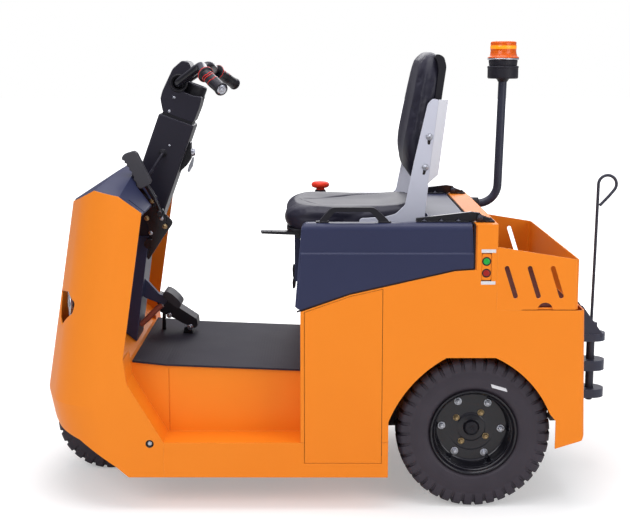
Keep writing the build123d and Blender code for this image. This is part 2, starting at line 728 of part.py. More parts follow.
def rear_body():
    wall = side_wall(half - sheet, half) - block((-400, fold_x), (0, half + 1), (0, shelf_z))
    wall -= side_plate(side_cover_outline(0), half - sheet - 1, half + 1)
    wall -= block((-34, -8), (half - sheet - 1, half + 1), (628, 702))
    body = wall + mirror(wall, about=Plane.XZ)
    front = block((body_front_x - sheet, body_front_x), (-half + sheet, half - sheet), (floor_rear_z - 2, belt[0][1]))
    deck = block((deck_rear_x, deck_front_x), (-half, half), (deck_z - sheet, deck_z))
    front_lip = block((deck_front_x - 2 * sheet, deck_front_x), (-half + sheet, half - sheet),
                      (belt[-1][1] - 3, deck_z - sheet))
    back_wall = block((deck_rear_x, deck_rear_x + sheet), (-half + sheet, half - sheet), (shelf_z, deck_z - sheet))
    for part in (front, folded_rear(), deck, front_lip, back_wall):
        body += part
    for side in (-1, 1):
        low, high = sorted((side * sill_inner_y, side * (half - sheet)))
        body += block((body_front_x - sheet, body_front_x), (low, high), (sill_top, floor_rear_z))
    return body


def side_covers():
    plate = side_plate(side_cover_outline(1.2), half - sheet, half - 0.5)
    return both_sides(plate)


def tray():
    # open bin behind the deck with three slanted slots in each side
    outline = [(deck_rear_x, shelf_z), (deck_rear_x, tray_front_z), (tray_rear_x, tray_rear_z),
               (tray_rear_x, shelf_z + tray_seam), (-116, shelf_z + tray_seam), (-116, shelf_z)]
    forms = []
    for wall, beyond in ((0, 0), (sheet, 5)):
        form = block((tray_rear_x + wall, deck_rear_x + beyond), (-half + wall, half - wall),
                     (shelf_z - beyond, tray_front_z + beyond))
        corners = form.edges().filter_by(Axis.Z).sort_by(Axis.X)[:2]
        forms.append(fillet(corners, fold_r - wall))
    low = shelf_z + tray_seam
    floor = forms[1] & block((tray_rear_x, deck_rear_x), (-half, half), (low, low + sheet))
    body = (forms[0] - forms[1]) & side_plate(outline, -half, half)
    for i in range(3):
        slot = extrude(Pos(-86.5 - i * slot_pitch, -half - 1, 625) * Rot(0, 18, 0) * Rot(90, 0, 0)
                       * SlotCenterToCenter(78, slot_w, rotation=90), amount=body_width + 2, dir=(0, 1, 0))
        body -= slot
    body -= Pos(-177, 0, shelf_z + tray_seam - 1) * crosswise(20, -half - 1, half + 1)
    return body + floor


def inching_buttons():
    plate = block((-34, -8), (half - sheet, half - 2), (628, 702))
    for z in (649, 681):
        plate += Pos(-21, 0, z) * crosswise(10, half - 3, half)
    return plate


# Hood, seat and what opens with them


def hood():
    # skirted cover over the battery with a well for the seat
    edge = [(x, z + belt_gap) for x, z in belt[:-1]]
    outline = [(hood_rear_x, belt[-1][1] + belt_gap), (hood_rear_x - 1, 700), (hood_rear_x + 4, deck_z), (461, deck_z),
               (hood_front_x, 558), *edge]
    top = side_plate(outline, -hood_half + hood_step, hood_half - hood_step)
    top = fillet(top.faces().sort_by(Axis.Z)[-1].edges().filter_by(lambda e: e.center().X > hood_rear_x + 10),
                 hood_edge_r)
    skirt = side_plate(outline, -hood_half, hood_half) & block((0, hood_front_x + 5), (-half, half),
                                                               (500, hood_crease_z + hood_step))
    skirt = chamfer(skirt.faces().sort_by(Axis.Z)[-1].edges().filter_by(Axis.X), hood_step)
    corners = skirt.edges().filter_by(lambda e: e.center().X > 465 and abs(e.center().Y) > hood_half - 1
                                      and e.length > 100)
    solid = top + chamfer(corners, 6)
    cavity = [(hood_rear_x + 6, 600), (hood_rear_x + 10, deck_z - hood_wall), (seat_well_rear_x - 6, deck_z - hood_wall),
              (seat_well_rear_x - 6, seat_well_z - hood_wall), (456, seat_well_z - hood_wall), (472, 560),
              (472, 500), (hood_rear_x + 6, 500)]
    inside = side_plate(cavity, -hood_half + hood_roof_gap, hood_half - hood_roof_gap)
    rail = side_plate([(seat_well_rear_x - 8, seat_well_z - 8), (seat_well_rear_x - 8, deck_z - hood_wall),
                       (448, deck_z - hood_wall), (456, seat_well_z - 8)], well_y + hood_wall,
                      hood_half - hood_roof_gap)
    well = block((seat_well_rear_x, hood_front_x + 20), (-well_y, well_y), (seat_well_z, deck_z + 5))
    return solid - inside - rail - mirror(rail, about=Plane.XZ) - well


def hinge_arms():
    outline = [(161, deck_z + 0.5), (161, deck_z + 10), (60, deck_z + 22), (16, deck_z + 27),
               (hinge_x, hinge_z + 11), (hinge_x - 9, hinge_z), (hinge_x - 3, hinge_z - 7), (14, deck_z + 0.5)]
    arm = side_plate(outline, hinge_y - 6, hinge_y + 6)
    arm += block((24, 161), (hinge_y - 16, hinge_y + 16), (deck_z, deck_z + 3))
    arm -= Pos(hinge_x, 0, hinge_z) * crosswise(hinge_pin_r + running, hinge_y - 10, hinge_y + 10)
    return both_sides(arm)


def hinge_brackets():
    ear = [(hinge_x + 8, deck_z), (hinge_x + 8, hinge_z + 5), (hinge_x, hinge_z + 9), (hinge_x - 9, hinge_z + 3),
           (-38, deck_z + 8), (-40, deck_z)]
    bracket = side_plate(ear, hinge_y + 8, hinge_y + 14) + side_plate(ear, hinge_y - 14, hinge_y - 8)
    bracket += block((-44, -20), (hinge_y - 18, hinge_y + 18), (deck_z, deck_z + 4))
    bracket += Pos(hinge_x, 0, hinge_z) * crosswise(hinge_pin_r, hinge_y - 16, hinge_y + 16)
    return both_sides(bracket)


def grab_handles():
    outer = [(418, deck_z), (388, 815), (378, 819), (276, 819), (266, 815), (230, deck_z), (258, deck_z),
             (280, 808), (376, 808), (396, deck_z)]
    return side_plate(outer, 346, 368)


def hood_latch():
    base = block((hood_front_x - 8, 486), (-30, 30), (560, 650))
    base -= hood_front_block()
    return base + side_plate([(484, 600), (493, 606), (493, 536), (484, 560)], -16, 16)


def hood_front_block():
    return side_plate([(461, deck_z), (hood_front_x, 558), (400, 558), (400, deck_z)], -60, 60)


def seat_rails():
    rails = None
    for y in (-150, 150):
        rail = block((150, 480), (y - 16, y + 16), (seat_well_z, 733))
        rails = rail if rails is None else rails + rail
    rails += block((200, 216), (-134, 134), (seat_well_z + 4, 730))
    rails += block((440, 456), (-134, 134), (seat_well_z + 4, 730))
    lever = side_plate([(470, 718), (575, 722), (577, 729), (470, 727)], 140, 172)
    return rails + lever


def seat_cushion():
    outline = [(514, 752), (516, 775), (504, 800), (470, 808), (250, 802), (130, 802), (124, 790), (124, 742),
               (150, 734), (490, 734)]
    body = side_plate(outline, -seat_half + 27, seat_half - 27)
    wings = side_plate([(514, 752), (514, 775), (490, 800), (440, 806), (330, 806), (330, 734), (490, 734)],
                       -seat_half, seat_half)
    return body + wings


def seat_backrest():
    outline = [(112, 1222), (140, 1216), (150, 1200), (188, 1018), (192, 970), (184, 915), (162, 866), (148, 866),
               (100, 940), (84, 1100), (72, 1180), (76, 1204), (92, 1216)]
    return side_plate(outline, -bracket_y + bracket_t, bracket_y - bracket_t)


def seat_bracket():
    outline = [(122, 1080), (110, 1094), (66, 1091), (91, 888), (110, 878), (118, 860), (126, deck_z + 1),
               (126, seat_well_z), (303, seat_well_z), (306, 764), (300, 770), (238, 773), (206, 782), (181, 806),
               (158, 925)]
    plate = side_plate(outline, bracket_y, bracket_y + bracket_t)
    plate += block((126, 300), (bracket_y + bracket_t, bracket_y + 32), (seat_well_z, seat_well_z + 5))
    back = side_plate([(70, 1085), (66, 1085), (90, 892), (94, 892)], -bracket_y, bracket_y)
    return plate + mirror(plate, about=Plane.XZ) + back


def emergency_stop():
    profile = [(0, deck_z), (19, deck_z), (19, deck_z + 5), (12, deck_z + 5), (12, 800), (26, 801), (28.5, 806),
               (28.5, 812), (22, 820), (8, 823), (0, 823)]
    mushroom = make_face(Polyline(*[(r, 0, z) for r, z in profile], close=True))
    return Pos(411, -362, 0) * revolve(mushroom, Axis.Z, 360)


# Beacon


def beacon_pole():
    route = [(deck_rear_x - 0.5, pole_y, pole_z), (pole_x + 10, pole_y, pole_z), (pole_x, pole_y, beacon_z)]
    return tube_along(route, pole_r, (60,)) + block((deck_rear_x - 6, deck_rear_x), (pole_y - 24, pole_y + 24),
                                                    (pole_z - 22, pole_z + 22))


def turned(profile):
    return Pos(pole_x, pole_y, 0) * revolve(make_face(Polyline(*[(r, 0, z) for r, z in profile], close=True)),
                                            Axis.Z, 360)


def beacon_base():
    return turned([(0, beacon_z), (47.5, beacon_z), (47.5, beacon_z + 38), (43, beacon_z + 38),
                   (43, beacon_z + 58), (49, beacon_z + 58), (49, beacon_z + 64), (0, beacon_z + 64)]) - beacon_pole()


def beacon_lens():
    low = beacon_z + 64
    return turned([(0, low), (43, low), (40.5, low + 8), (39.5, beacon_top - 3), (37, beacon_top), (0, beacon_top)])


# Towing coupling


def tow_coupling():
    body = block((-345, body_rear_bottom_x - 8), (-30, 30), (jaws[0][0], jaws[2][1]))
    nose_x_rear = jaw_x + jaw_half
    plan = make_face(Wire([Line((-330, -jaw_half), (-330, jaw_half)), Line((-330, jaw_half), (nose_x_rear, jaw_half)),
                           ThreePointArc((nose_x_rear, jaw_half), (jaw_x, 0), (nose_x_rear, -jaw_half)),
                           Line((nose_x_rear, -jaw_half), (-330, -jaw_half))]))
    for low, high in jaws:
        body += Pos(0, 0, low) * extrude(plan, amount=high - low, dir=(0, 0, 1))
    low, high = 205, 500
    body += side_plate([(rear_x(low) - 10, low), (rear_x(low), low), (rear_x(high), high), (rear_x(high) - 10, high)],
                       -70, 70)
    foot = jaws[2][1] - 10
    for y in (-34, 28):
        body += side_plate([(-298, 498), (-351, 491), (-412, foot + 10), (-412, foot), (-298, foot)], y, y + 6)
    return body - Pos(pin_x, 0, 0) * upright(pin_r + 0.8, 150, 600)


def tow_pin():
    pin = Pos(pin_x, 0, 0) * (upright(pin_r, pin_low + 6, pin_top) + upright(pin_r - 3, pin_low, pin_low + 6)
                              + upright(pin_r + 6, jaws[2][1] + running, pin_top))
    rod = tube_along([(pin_x, 0, pin_top - 8), (pin_x - 1, 0, 480), (-390, 0, 838), (-412, 0, loop_top),
                      (loop_rear_x, 0, loop_top), (loop_rear_x, 0, 836), (-400, 0, 775)], rod_r, (60, 14, 11, 11, 8))
    return pin + rod


pieces = {
    "chassis_frame": chassis_frame, "front_shroud": front_shroud, "headlamps": headlamps, "floor_mat": floor_mat,
    "dash_cowl": dash_cowl, "column_pedestal": column_pedestal, "column_housing": column_housing,
    "key_switch": key_switch, "direction_lever": direction_lever, "parking_brake": parking_brake,
    "brake_pedal": brake_pedal, "accelerator_pedal": accelerator_pedal,
    "head_housing": head_housing, "gauge": gauge, "handlebar": handlebar, "handlebar_grips": handlebar_grips,
    "front_fork": front_fork, "front_rim": front_rim, "rear_axle": rear_axle, "rear_frame": rear_frame,
    "rear_body": rear_body, "wheel_houses": wheel_houses, "side_covers": side_covers, "tray": tray,
    "inching_buttons": inching_buttons, "hinge_brackets": hinge_brackets, "hinge_arms": hinge_arms, "hood": hood, "grab_handles": grab_handles,
    "hood_latch": hood_latch, "seat_rails": seat_rails, "seat_cushion": seat_cushion,
    "seat_backrest": seat_backrest, "seat_bracket": seat_bracket, "emergency_stop": emergency_stop,
    "beacon_pole": beacon_pole, "beacon_base": beacon_base, "beacon_lens": beacon_lens,
    "tow_coupling": tow_coupling, "tow_pin": tow_pin,
}
for name, make in pieces.items():
    save(name, make())

save("battery", block(battery_x, (-battery_half, battery_half), battery_z))
save("front_tyre", Pos(wheelbase, 0, front_axle_z)
     * tyre(front_tyre_r, front_tyre_w, front_rim_r, front_tyre_w / 2 - 18, front_lugs, front_lug_depth))
for name, side in (("left", 1), ("right", -1)):
    place = Pos(0, side * rear_track / 2, axle_z)
    save(f"rim_{name}", place * rear_rim(side))
    save(f"tyre_{name}", place * tyre(rear_tyre_r, rear_tyre_w, rim_r, rear_tyre_w / 2 - 19, rear_lugs, rear_lug_depth))
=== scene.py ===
import math
import bmesh
import bpy
import numpy as np
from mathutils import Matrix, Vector


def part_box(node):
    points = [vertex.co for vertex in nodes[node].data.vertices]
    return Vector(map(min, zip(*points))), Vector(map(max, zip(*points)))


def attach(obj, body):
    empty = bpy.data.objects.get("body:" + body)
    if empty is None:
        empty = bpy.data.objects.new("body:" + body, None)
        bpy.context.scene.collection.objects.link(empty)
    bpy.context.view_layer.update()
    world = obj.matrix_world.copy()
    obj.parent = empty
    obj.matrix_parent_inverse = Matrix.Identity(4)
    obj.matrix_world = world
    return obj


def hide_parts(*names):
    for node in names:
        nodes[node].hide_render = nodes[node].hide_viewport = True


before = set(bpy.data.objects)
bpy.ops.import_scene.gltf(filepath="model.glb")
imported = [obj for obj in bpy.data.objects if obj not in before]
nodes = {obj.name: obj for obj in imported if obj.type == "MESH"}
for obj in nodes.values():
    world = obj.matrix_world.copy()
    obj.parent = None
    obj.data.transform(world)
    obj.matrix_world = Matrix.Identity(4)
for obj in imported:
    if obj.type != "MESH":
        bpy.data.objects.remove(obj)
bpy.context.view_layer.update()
tyreLow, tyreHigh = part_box("tyre_left")
axleX = (tyreLow.x + tyreHigh.x) / 2      # rear axle's place; the sizes below are millimetres from under it
print("frame loaded with", len(nodes), "nodes")


# Small helpers

def toLinear(hexText):
    # an sRGB hex colour as the linear values that a shader takes
    channels = np.array([int(hexText[i:i + 2], 16) for i in (0, 2, 4)]) / 255
    linear = np.where(channels <= 0.04045, channels / 12.92, ((channels + 0.055) / 1.055) ** 2.4)
    return (*linear.tolist(), 1.0)


def addNode(tree, kind, settings=None, sockets=None):
    # one node with its settings, and its sockets linked or set
    node = tree.nodes.new(kind)
    for name, value in (settings or {}).items():
        setattr(node, name, value)
    for name, value in (sockets or {}).items():
        if isinstance(value, bpy.types.NodeSocket):
            tree.links.new(value, node.inputs[name])
        else:
            node.inputs[name].default_value = value
    return node


def perMetre(millimetres):
    return 1000 / millimetres


def gridFaces(rows, columns, closedRows=False, closedColumns=False):
    # four-sided faces between neighbouring points of a grid, wrapped round where a direction is closed
    r, c = np.meshgrid(np.arange(rows if closedRows else rows - 1),
        np.arange(columns if closedColumns else columns - 1), indexing="ij")
    nextR, nextC = (r + 1) % rows, (c + 1) % columns
    quads = np.stack([r * columns + c, nextR * columns + c, nextR * columns + nextC, r * columns + nextC], -1)
    return quads.reshape(-1, 4).tolist()


def softened(points, radius, steps=5, closed=True):
    # every corner becomes a curve, (1-t)^2 a + 2t(1-t) corner + t^2 b; a and b lie a radius away on its sides
    corners = np.asarray(points, float)
    before, after = np.roll(corners, 1, 0) - corners, np.roll(corners, -1, 0) - corners
    lengthBefore = np.linalg.norm(before, axis=1, keepdims=True) + 1e-9
    lengthAfter = np.linalg.norm(after, axis=1, keepdims=True) + 1e-9
    a = corners + before / lengthBefore * np.minimum(radius, lengthBefore * 0.45)
    b = corners + after / lengthAfter * np.minimum(radius, lengthAfter * 0.45)
    t = np.linspace(0, 1, steps)[None, :, None]
    bends = (1 - t) ** 2 * a[:, None] + 2 * t * (1 - t) * corners[:, None] + t ** 2 * b[:, None]
    if closed:
        return bends.reshape(-1, corners.shape[1])
    return np.concatenate([corners[:1], bends[1:-1].reshape(-1, corners.shape[1]), corners[-1:]])


def slab(outline, low, high, across="y"):
    # an outline carried straight from low to high, with a cap on each end
    outline = np.asarray(outline, float)
    count = len(outline)
    columns = {"y": (0, None, 1), "z": (0, 1, None), "x": (None, 0, 1)}[across]
    points = np.zeros((2, count, 3))
    for end, level in enumerate((low, high)):
        for k, source in enumerate(columns):
            points[end, :, k] = level if source is None else outline[:, source]
    faces = gridFaces(2, count, closedColumns=True)
    faces += [list(range(count)), list(range(2 * count - 1, count - 1, -1))]
    return points.reshape(-1, 3), faces


def turned(profile, centre, axis=(0, 1, 0), steps=48):
    # a profile of radius and place along an axis, carried once round it
    profile = np.asarray(profile, float)
    axis = np.asarray(axis, float) / np.linalg.norm(axis)
    side = np.cross(axis, (0, 0, 1) if abs(axis[2]) < 0.9 else (1, 0, 0))
    side /= np.linalg.norm(side)
    up = np.cross(side, axis)
    angle = 2 * np.pi * np.arange(steps)[:, None, None] / steps
    ring = profile[None, :, :1] * (np.cos(angle) * side + np.sin(angle) * up)
    points = np.asarray(centre, float) + ring + profile[None, :, 1:] * axis
    return points.reshape(-1, 3), gridFaces(steps, len(profile), closedRows=True)


def lathe(profile, radius, bends, *place):
    # the same, with the profile's corners rounded
    return turned(softened(profile, radius, bends, closed=False), *place)


def tube(path, radius, sides=16):
    # a circle carried along a path, square to it, drawn in to a point at both ends
    path = np.asarray(path, float)
    run = np.gradient(path, axis=0)
    run /= np.linalg.norm(run, axis=1, keepdims=True)
    side = np.cross(run, (0.13, 0.31, 0.94))
    side /= np.linalg.norm(side, axis=1, keepdims=True)
    up = np.cross(run, side)
    path, side, up = (np.concatenate([v[:1], v, v[-1:]]) for v in (path, side, up))
    radii = np.full(len(path), float(radius))
    radii[[0, -1]] = 0
    angle = 2 * np.pi * np.arange(sides)[None, :, None] / sides
    ring = np.cos(angle) * side[:, None] + np.sin(angle) * up[:, None]
    points = path[:, None] + radii[:, None, None] * ring
    return points.reshape(-1, 3), gridFaces(len(path), sides, closedColumns=True)


def makePiece(name, shapes, finish, body="chassis", bevel=0.0, levels=0, sharp=35, replacing=()):
    # joins shapes in millimetres into one mesh in the frame, closes its seams and turns its faces outwards
    points, faces, count = [], [], 0
    for shapePoints, shapeFaces in shapes:
        points.append(shapePoints)
        faces += [[index + count for index in face] for face in shapeFaces]
        count += len(shapePoints)
    placed = np.concatenate(points) / 1000
    placed[:, 0] += axleX
    mesh = bpy.data.meshes.new(name)
    mesh.from_pydata(placed.tolist(), [], faces)
    tidy = bmesh.new()
    tidy.from_mesh(mesh)
    bmesh.ops.remove_doubles(tidy, verts=tidy.verts, dist=2e-6)
    bmesh.ops.recalc_face_normals(tidy, faces=tidy.faces)
    tidy.to_mesh(mesh)
    tidy.free()
    mesh.shade_smooth()
    mesh.set_sharp_from_angle(angle=math.radians(sharp))
    mesh.materials.append(finish)
    piece = bpy.data.objects.new(name, mesh)
    bpy.context.scene.collection.objects.link(piece)
    if bevel:
        edge = piece.modifiers.new("edge", "BEVEL")
        edge.width, edge.segments, edge.limit_method = bevel / 1000, 2, "ANGLE"
        edge.angle_limit, edge.harden_normals = math.radians(sharp), True
    if levels:
        smoother = piece.modifiers.new("smoother", "SUBSURF")
        smoother.levels = smoother.render_levels = levels
    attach(piece, body)
    if replacing:
        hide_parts(*replacing)
    return piece


# Finishes


def makeFinish(name, colour, tint, patch, roughness, spread, grain, relief, metallic=0.0, coat=0.0,
        edge=None, edgeWidth=1.5, grainKind="NOISE", shine=0.35):
    # colour drifts to tint over patches, the gloss drifts by spread, and the grain stands up by relief, in mm
    material = bpy.data.materials.new(name)
    material.use_nodes = True
    tree = material.node_tree
    shader = tree.nodes["Principled BSDF"]
    place = addNode(tree, "ShaderNodeTexCoord").outputs["Object"]
    drift = addNode(tree, "ShaderNodeTexNoise", {}, {"Vector": place, "Scale": perMetre(patch), "Detail": 4.0})
    mixed = addNode(tree, "ShaderNodeMix", {"data_type": "RGBA"},
        {0: drift.outputs["Fac"], 6: toLinear(colour), 7: toLinear(tint)})
    rounding = addNode(tree, "ShaderNodeBevel", {"samples": 4}, {"Radius": edgeWidth / 1000})
    baseColour = mixed.outputs[2]
    # painted highlight: when an edge colour is given, a lighter colour is mixed in along every edge that the
    # Bevel node rounds, standing in for light caught on the edges
    if edge:
        trueNormal = addNode(tree, "ShaderNodeNewGeometry").outputs["Normal"]
        turn = addNode(tree, "ShaderNodeVectorMath", {"operation": "DOT_PRODUCT"},
            {0: rounding.outputs["Normal"], 1: trueNormal})
        edgeHighlightMask = addNode(tree, "ShaderNodeMapRange", {},
            {"Value": turn.outputs["Value"], "From Min": 0.97, "From Max": 0.75, "To Max": 0.7})
        paintedEdgeHighlight = addNode(tree, "ShaderNodeMix", {"data_type": "RGBA"},
            {0: edgeHighlightMask.outputs[0], 6: baseColour, 7: toLinear(edge)})
        baseColour = paintedEdgeHighlight.outputs[2]
    tree.links.new(baseColour, shader.inputs["Base Color"])
    gloss = addNode(tree, "ShaderNodeMapRange", {},
        {"Value": drift.outputs["Fac"], "To Min": roughness - spread, "To Max": roughness + spread})
    tree.links.new(gloss.outputs[0], shader.inputs["Roughness"])
    if grainKind == "VORONOI":
        texture = addNode(tree, "ShaderNodeTexVoronoi", {}, {"Vector": place, "Scale": perMetre(grain)})
        height = texture.outputs["Distance"]
    else:
        texture = addNode(tree, "ShaderNodeTexNoise", {},
            {"Vector": place, "Scale": perMetre(grain), "Detail": 2.0})
        height = texture.outputs["Fac"]
    bump = addNode(tree, "ShaderNodeBump", {},
        {"Height": height, "Distance": relief / 1000, "Normal": rounding.outputs["Normal"]})
    tree.links.new(bump.outputs["Normal"], shader.inputs["Normal"])
    shader.inputs["Metallic"].default_value = metallic
    shader.inputs["Specular IOR Level"].default_value = shine
    shader.inputs["Coat Weight"].default_value = coat
    shader.inputs["Coat Roughness"].default_value = 0.18
    return material


# powder coat on steel sheet: even orange, a soft sheen and a fine orange peel, drawn at 4 mm so that it shows
orangePowderCoat = makeFinish("orangePowderCoat", "f18a22", "ea7f1a", 420, 0.42, 0.05, 4,
    0.03, shine=0.22, edge="ff9d3a", edgeWidth=2.5)
# moulded ABS with a leather grain: a dull navy that takes a broad soft highlight
navyAbs = makeFinish("navyAbs", "2c3150", "262a46", 260, 0.42, 0.06, 3, 0.05, edge="6c7498",
    edgeWidth=2.5, shine=0.3)
# the column's moulding: the same ABS, nearly black
columnAbs = makeFinish("columnAbs", "24222e", "1b1924", 180, 0.36, 0.06, 3, 0.04,
    edge="5f5d70", edgeWidth=3, shine=0.3)
# black enamel on steel tube and plate: glossy, with a slightly uneven skin
blackEnamel = makeFinish("blackEnamel", "101016", "17161d", 90, 0.22, 0.06, 2.5, 0.03,
    coat=0.15, edge="3a3944", shine=0.4)
# black injection-moulded nylon: matt, with a fine spark texture
blackNylon = makeFinish("blackNylon", "141319", "1b1a21", 60, 0.50, 0.06, 1.5, 0.06,
    edge="3a3943", shine=0.3)
# grey zinc-rich paint on the seat's carrier: pale, a little violet, satin
greyEnamel = makeFinish("greyEnamel", "c6c8d6", "bcbecd", 160, 0.34, 0.06, 3, 0.03,
    edge="e8e9f0", shine=0.4)
# the same paint where the carrier's fold catches the light
paleEnamel = makeFinish("paleEnamel", "d3d4dc", "c9cad4", 160, 0.3, 0.05, 3, 0.03, shine=0.5)
# bright zinc on turned steel: silver with small dull patches
brightZinc = makeFinish("brightZinc", "c9ccd2", "a9acb4", 12, 0.28, 0.08, 1.2, 0.03, metallic=1.0)
# yellow passivated zinc on small fasteners: a pale brass colour
yellowZinc = makeFinish("yellowZinc", "b8a075", "9a8766", 10, 0.32, 0.08, 1.2, 0.03, metallic=1.0)
# moulded rubber: dull and slightly dusty, with a pebbled skin; cleaner and smoother on the grips
tyreRubber = makeFinish("tyreRubber", "2d2830", "3b353e", 60, 0.52, 0.08, 1.8, 0.12, edge="544d55",
    edgeWidth=2)
gripRubber = makeFinish("gripRubber", "121116", "1a191f", 30, 0.38, 0.06, 1.2, 0.08)
# red silicone print and red moulded plastic: saturated, with a soft gloss
redPlastic = makeFinish("redPlastic", "e0231a", "cc1c12", 40, 0.32, 0.05, 2, 0.02, coat=0.3)
# bright signal red on the stop button and a deep red on the small button, both with a soft gloss
signalRed = makeFinish("signalRed", "ee3a1c", "e4301a", 40, 0.42, 0.05, 2, 0.02, shine=0.25)
darkRed = makeFinish("darkRed", "a3180f", "8f140d", 20, 0.35, 0.05, 2, 0.02)
# saturated green on the other button
greenPlastic = makeFinish("greenPlastic", "10a93a", "0d9a33", 40, 0.35, 0.05, 2, 0.02, coat=0.3)
# white polyester film for blank plates: flat, faintly glossy
whiteFilm = makeFinish("whiteFilm", "dcdce0", "d2d2d8", 50, 0.4, 0.05, 3, 0.01)
# grey moulded grip on the parking brake: dull, with a fine pebble
greyGrip = makeFinish("greyGrip", "403f45", "38373d", 40, 0.52, 0.05, 1.6, 0.12, edge="6b6a72")
# foam sealing strip: black, open and matt; the same black also serves as painted shade along the hood's lower
# edge and across its top
sealAndShadeStrip = makeFinish("sealAndShadeStrip", "1a0f12", "241318", 30, 0.85, 0.04, 2, 0.2)
# vinyl over foam: leather grain with cells about 3 mm wide, a soft broad highlight
seatVinyl = makeFinish("seatVinyl", "201f2b", "282734", 150, 0.42, 0.05, 2.6, 0.05, edgeWidth=3,
    grainKind="VORONOI", shine=0.25)
# moulded rubber on the pedals: nearly black with a violet cast
pedalRubber = makeFinish("pedalRubber", "1b1a22", "24232c", 40, 0.46, 0.06, 1.8, 0.1,
    edge="45444f", shine=0.3)
# slate enamel on the beacon's pole and the coupling: a dull blue-black with an even sheen
slateEnamel = makeFinish("slateEnamel", "353849", "2f3242", 90, 0.36, 0.06, 2.5, 0.04,
    edge="6a6e86", shine=0.35)
# the tray's floor: its orange coat drawn dark brown, painted shade for the deep tray seen through the slots;
# dull and rough
paintedShadeCoat = makeFinish("paintedShadeCoat", "5c2f28", "4a241f", 70, 0.85, 0.05, 3, 0.1, shine=0.1)
# phosphated and oiled steel: dark grey with a low shine
oiledSteel = makeFinish("oiledSteel", "3c3d49", "32333d", 60, 0.4, 0.07, 2, 0.05, metallic=0.35,
    edge="6d6e7c")
# red-brown hydraulic hose rubber on the brake cylinder
hoseRubber = makeFinish("hoseRubber", "a5584a", "94503f", 25, 0.45, 0.05, 1.5, 0.06)
# near-black with a soft sheen: the gauge's dark dial, and painted shade in the carrier's slots, in the rims
# round the jack holes and on the small blocks in the wheel arches
dialAndShadeBlack = makeFinish("dialAndShadeBlack", "1b1614", "241c18", 40, 0.35, 0.05, 2, 0.03)
# cast iron and welded steel under black chassis paint: dull, with a sandy skin
chassisPaint = makeFinish("chassisPaint", "141418", "1f1e22", 120, 0.5, 0.08, 3, 0.12,
    edge="44424a")
# polypropylene battery case: matt grey-black
batteryCase = makeFinish("batteryCase", "232326", "2b2b2f", 120, 0.5, 0.05, 2, 0.05)


def ribbedMat():
    # rubber floor mat: a square pattern of low pyramids 8 mm apart that catches the light in rows
    material = makeFinish("ribbedMat", "1f1d27", "2a2833", 90, 0.6, 0.06, 2, 0.1, shine=0.2)
    tree = material.node_tree
    shader = tree.nodes["Principled BSDF"]
    place = addNode(tree, "ShaderNodeTexCoord").outputs["Object"]
    parts = addNode(tree, "ShaderNodeSeparateXYZ", {}, {"Vector": place})
    waves = []
    for axis in ("X", "Y"):
        turn = addNode(tree, "ShaderNodeMath", {"operation": "MULTIPLY"},
            {0: parts.outputs[axis], 1: 2 * math.pi * perMetre(8)})
        waves.append(addNode(tree, "ShaderNodeMath", {"operation": "SINE"}, {0: turn.outputs[0]}).outputs[0])
    height = addNode(tree, "ShaderNodeMath", {"operation": "MAXIMUM"}, {0: waves[0], 1: waves[1]})
    under = shader.inputs["Normal"].links[0].from_socket
    bump = addNode(tree, "ShaderNodeBump", {},
        {"Height": height.outputs[0], "Distance": 0.00012, "Normal": under})
    tree.links.new(bump.outputs["Normal"], shader.inputs["Normal"])
    return material


def clearPlastic(name, colour, transmission, roughness, glow=0.0):
    # dyed acrylic: light passes through it, and glow adds emission in its own colour, a painted glow for light
    # caught in the lens
    material = bpy.data.materials.new(name)
    material.use_nodes = True
    tree = material.node_tree
    shader = tree.nodes["Principled BSDF"]
    place = addNode(tree, "ShaderNodeTexCoord").outputs["Object"]
    wave = addNode(tree, "ShaderNodeTexWave", {"bands_direction": "Z"},
        {"Vector": place, "Scale": perMetre(60)})
    bump = addNode(tree, "ShaderNodeBump", {}, {"Height": wave.outputs["Fac"], "Distance": 0.0003})
    tree.links.new(bump.outputs["Normal"], shader.inputs["Normal"])
    shader.inputs["Base Color"].default_value = toLinear(colour)
    shader.inputs["Transmission Weight"].default_value = transmission
    shader.inputs["Roughness"].default_value = roughness
    shader.inputs["IOR"].default_value = 1.49
    shader.inputs["Emission Color"].default_value = toLinear(colour)
    shader.inputs["Emission Strength"].default_value = glow
    return material


rubberMat = ribbedMat()
# both beacon acrylics glow a little as painted glow; the band's stronger glow is a painted highlight round the
# lens
amberAcrylic = clearPlastic("amberAcrylic", "d85c00", 0.1, 0.22, 0.1)
brightAcrylic = clearPlastic("brightAcrylic", "ff9c1a", 0.1, 0.2, 0.45)
lampGlass = clearPlastic("lampGlass", "f4f7fb", 0.9, 0.05)

# the CAD nodes that stay in sight, and those behind the pieces, by finish
nodeFinishes = [
    (orangePowderCoat, ("chassis_frame", "front_shroud", "rear_body", "side_covers", "tray", "wheel_houses")),
    (rubberMat, ("floor_mat",)),
    (navyAbs, ("dash_cowl", "column_pedestal", "hood")),
    (columnAbs, ("column_housing", "head_housing")),
    (blackNylon, ("gauge", "inching_buttons", "grab_handles", "hood_latch", "beacon_base")),
    (brightZinc, ("key_switch",)),
    (blackEnamel, ("direction_lever", "parking_brake", "brake_pedal", "accelerator_pedal", "handlebar",
        "front_rim", "hinge_brackets", "hinge_arms", "seat_rails", "tow_pin", "rim_left", "rim_right")),
    (gripRubber, ("handlebar_grips",)),
    (chassisPaint, ("front_fork", "rear_axle", "rear_frame")),
    (seatVinyl, ("seat_cushion", "seat_backrest")),
    (greyEnamel, ("seat_bracket",)),
    (redPlastic, ("emergency_stop",)),
    (slateEnamel, ("beacon_pole", "tow_coupling")),
    (amberAcrylic, ("beacon_lens",)),
    (batteryCase, ("battery",)),
    (tyreRubber, ("tyre_left", "tyre_right", "front_tyre")),
    (lampGlass, ("headlamps",)),
]
for finish, members in nodeFinishes:
    for name in members:
        nodes[name].data.materials.clear()
        nodes[name].data.materials.append(finish)
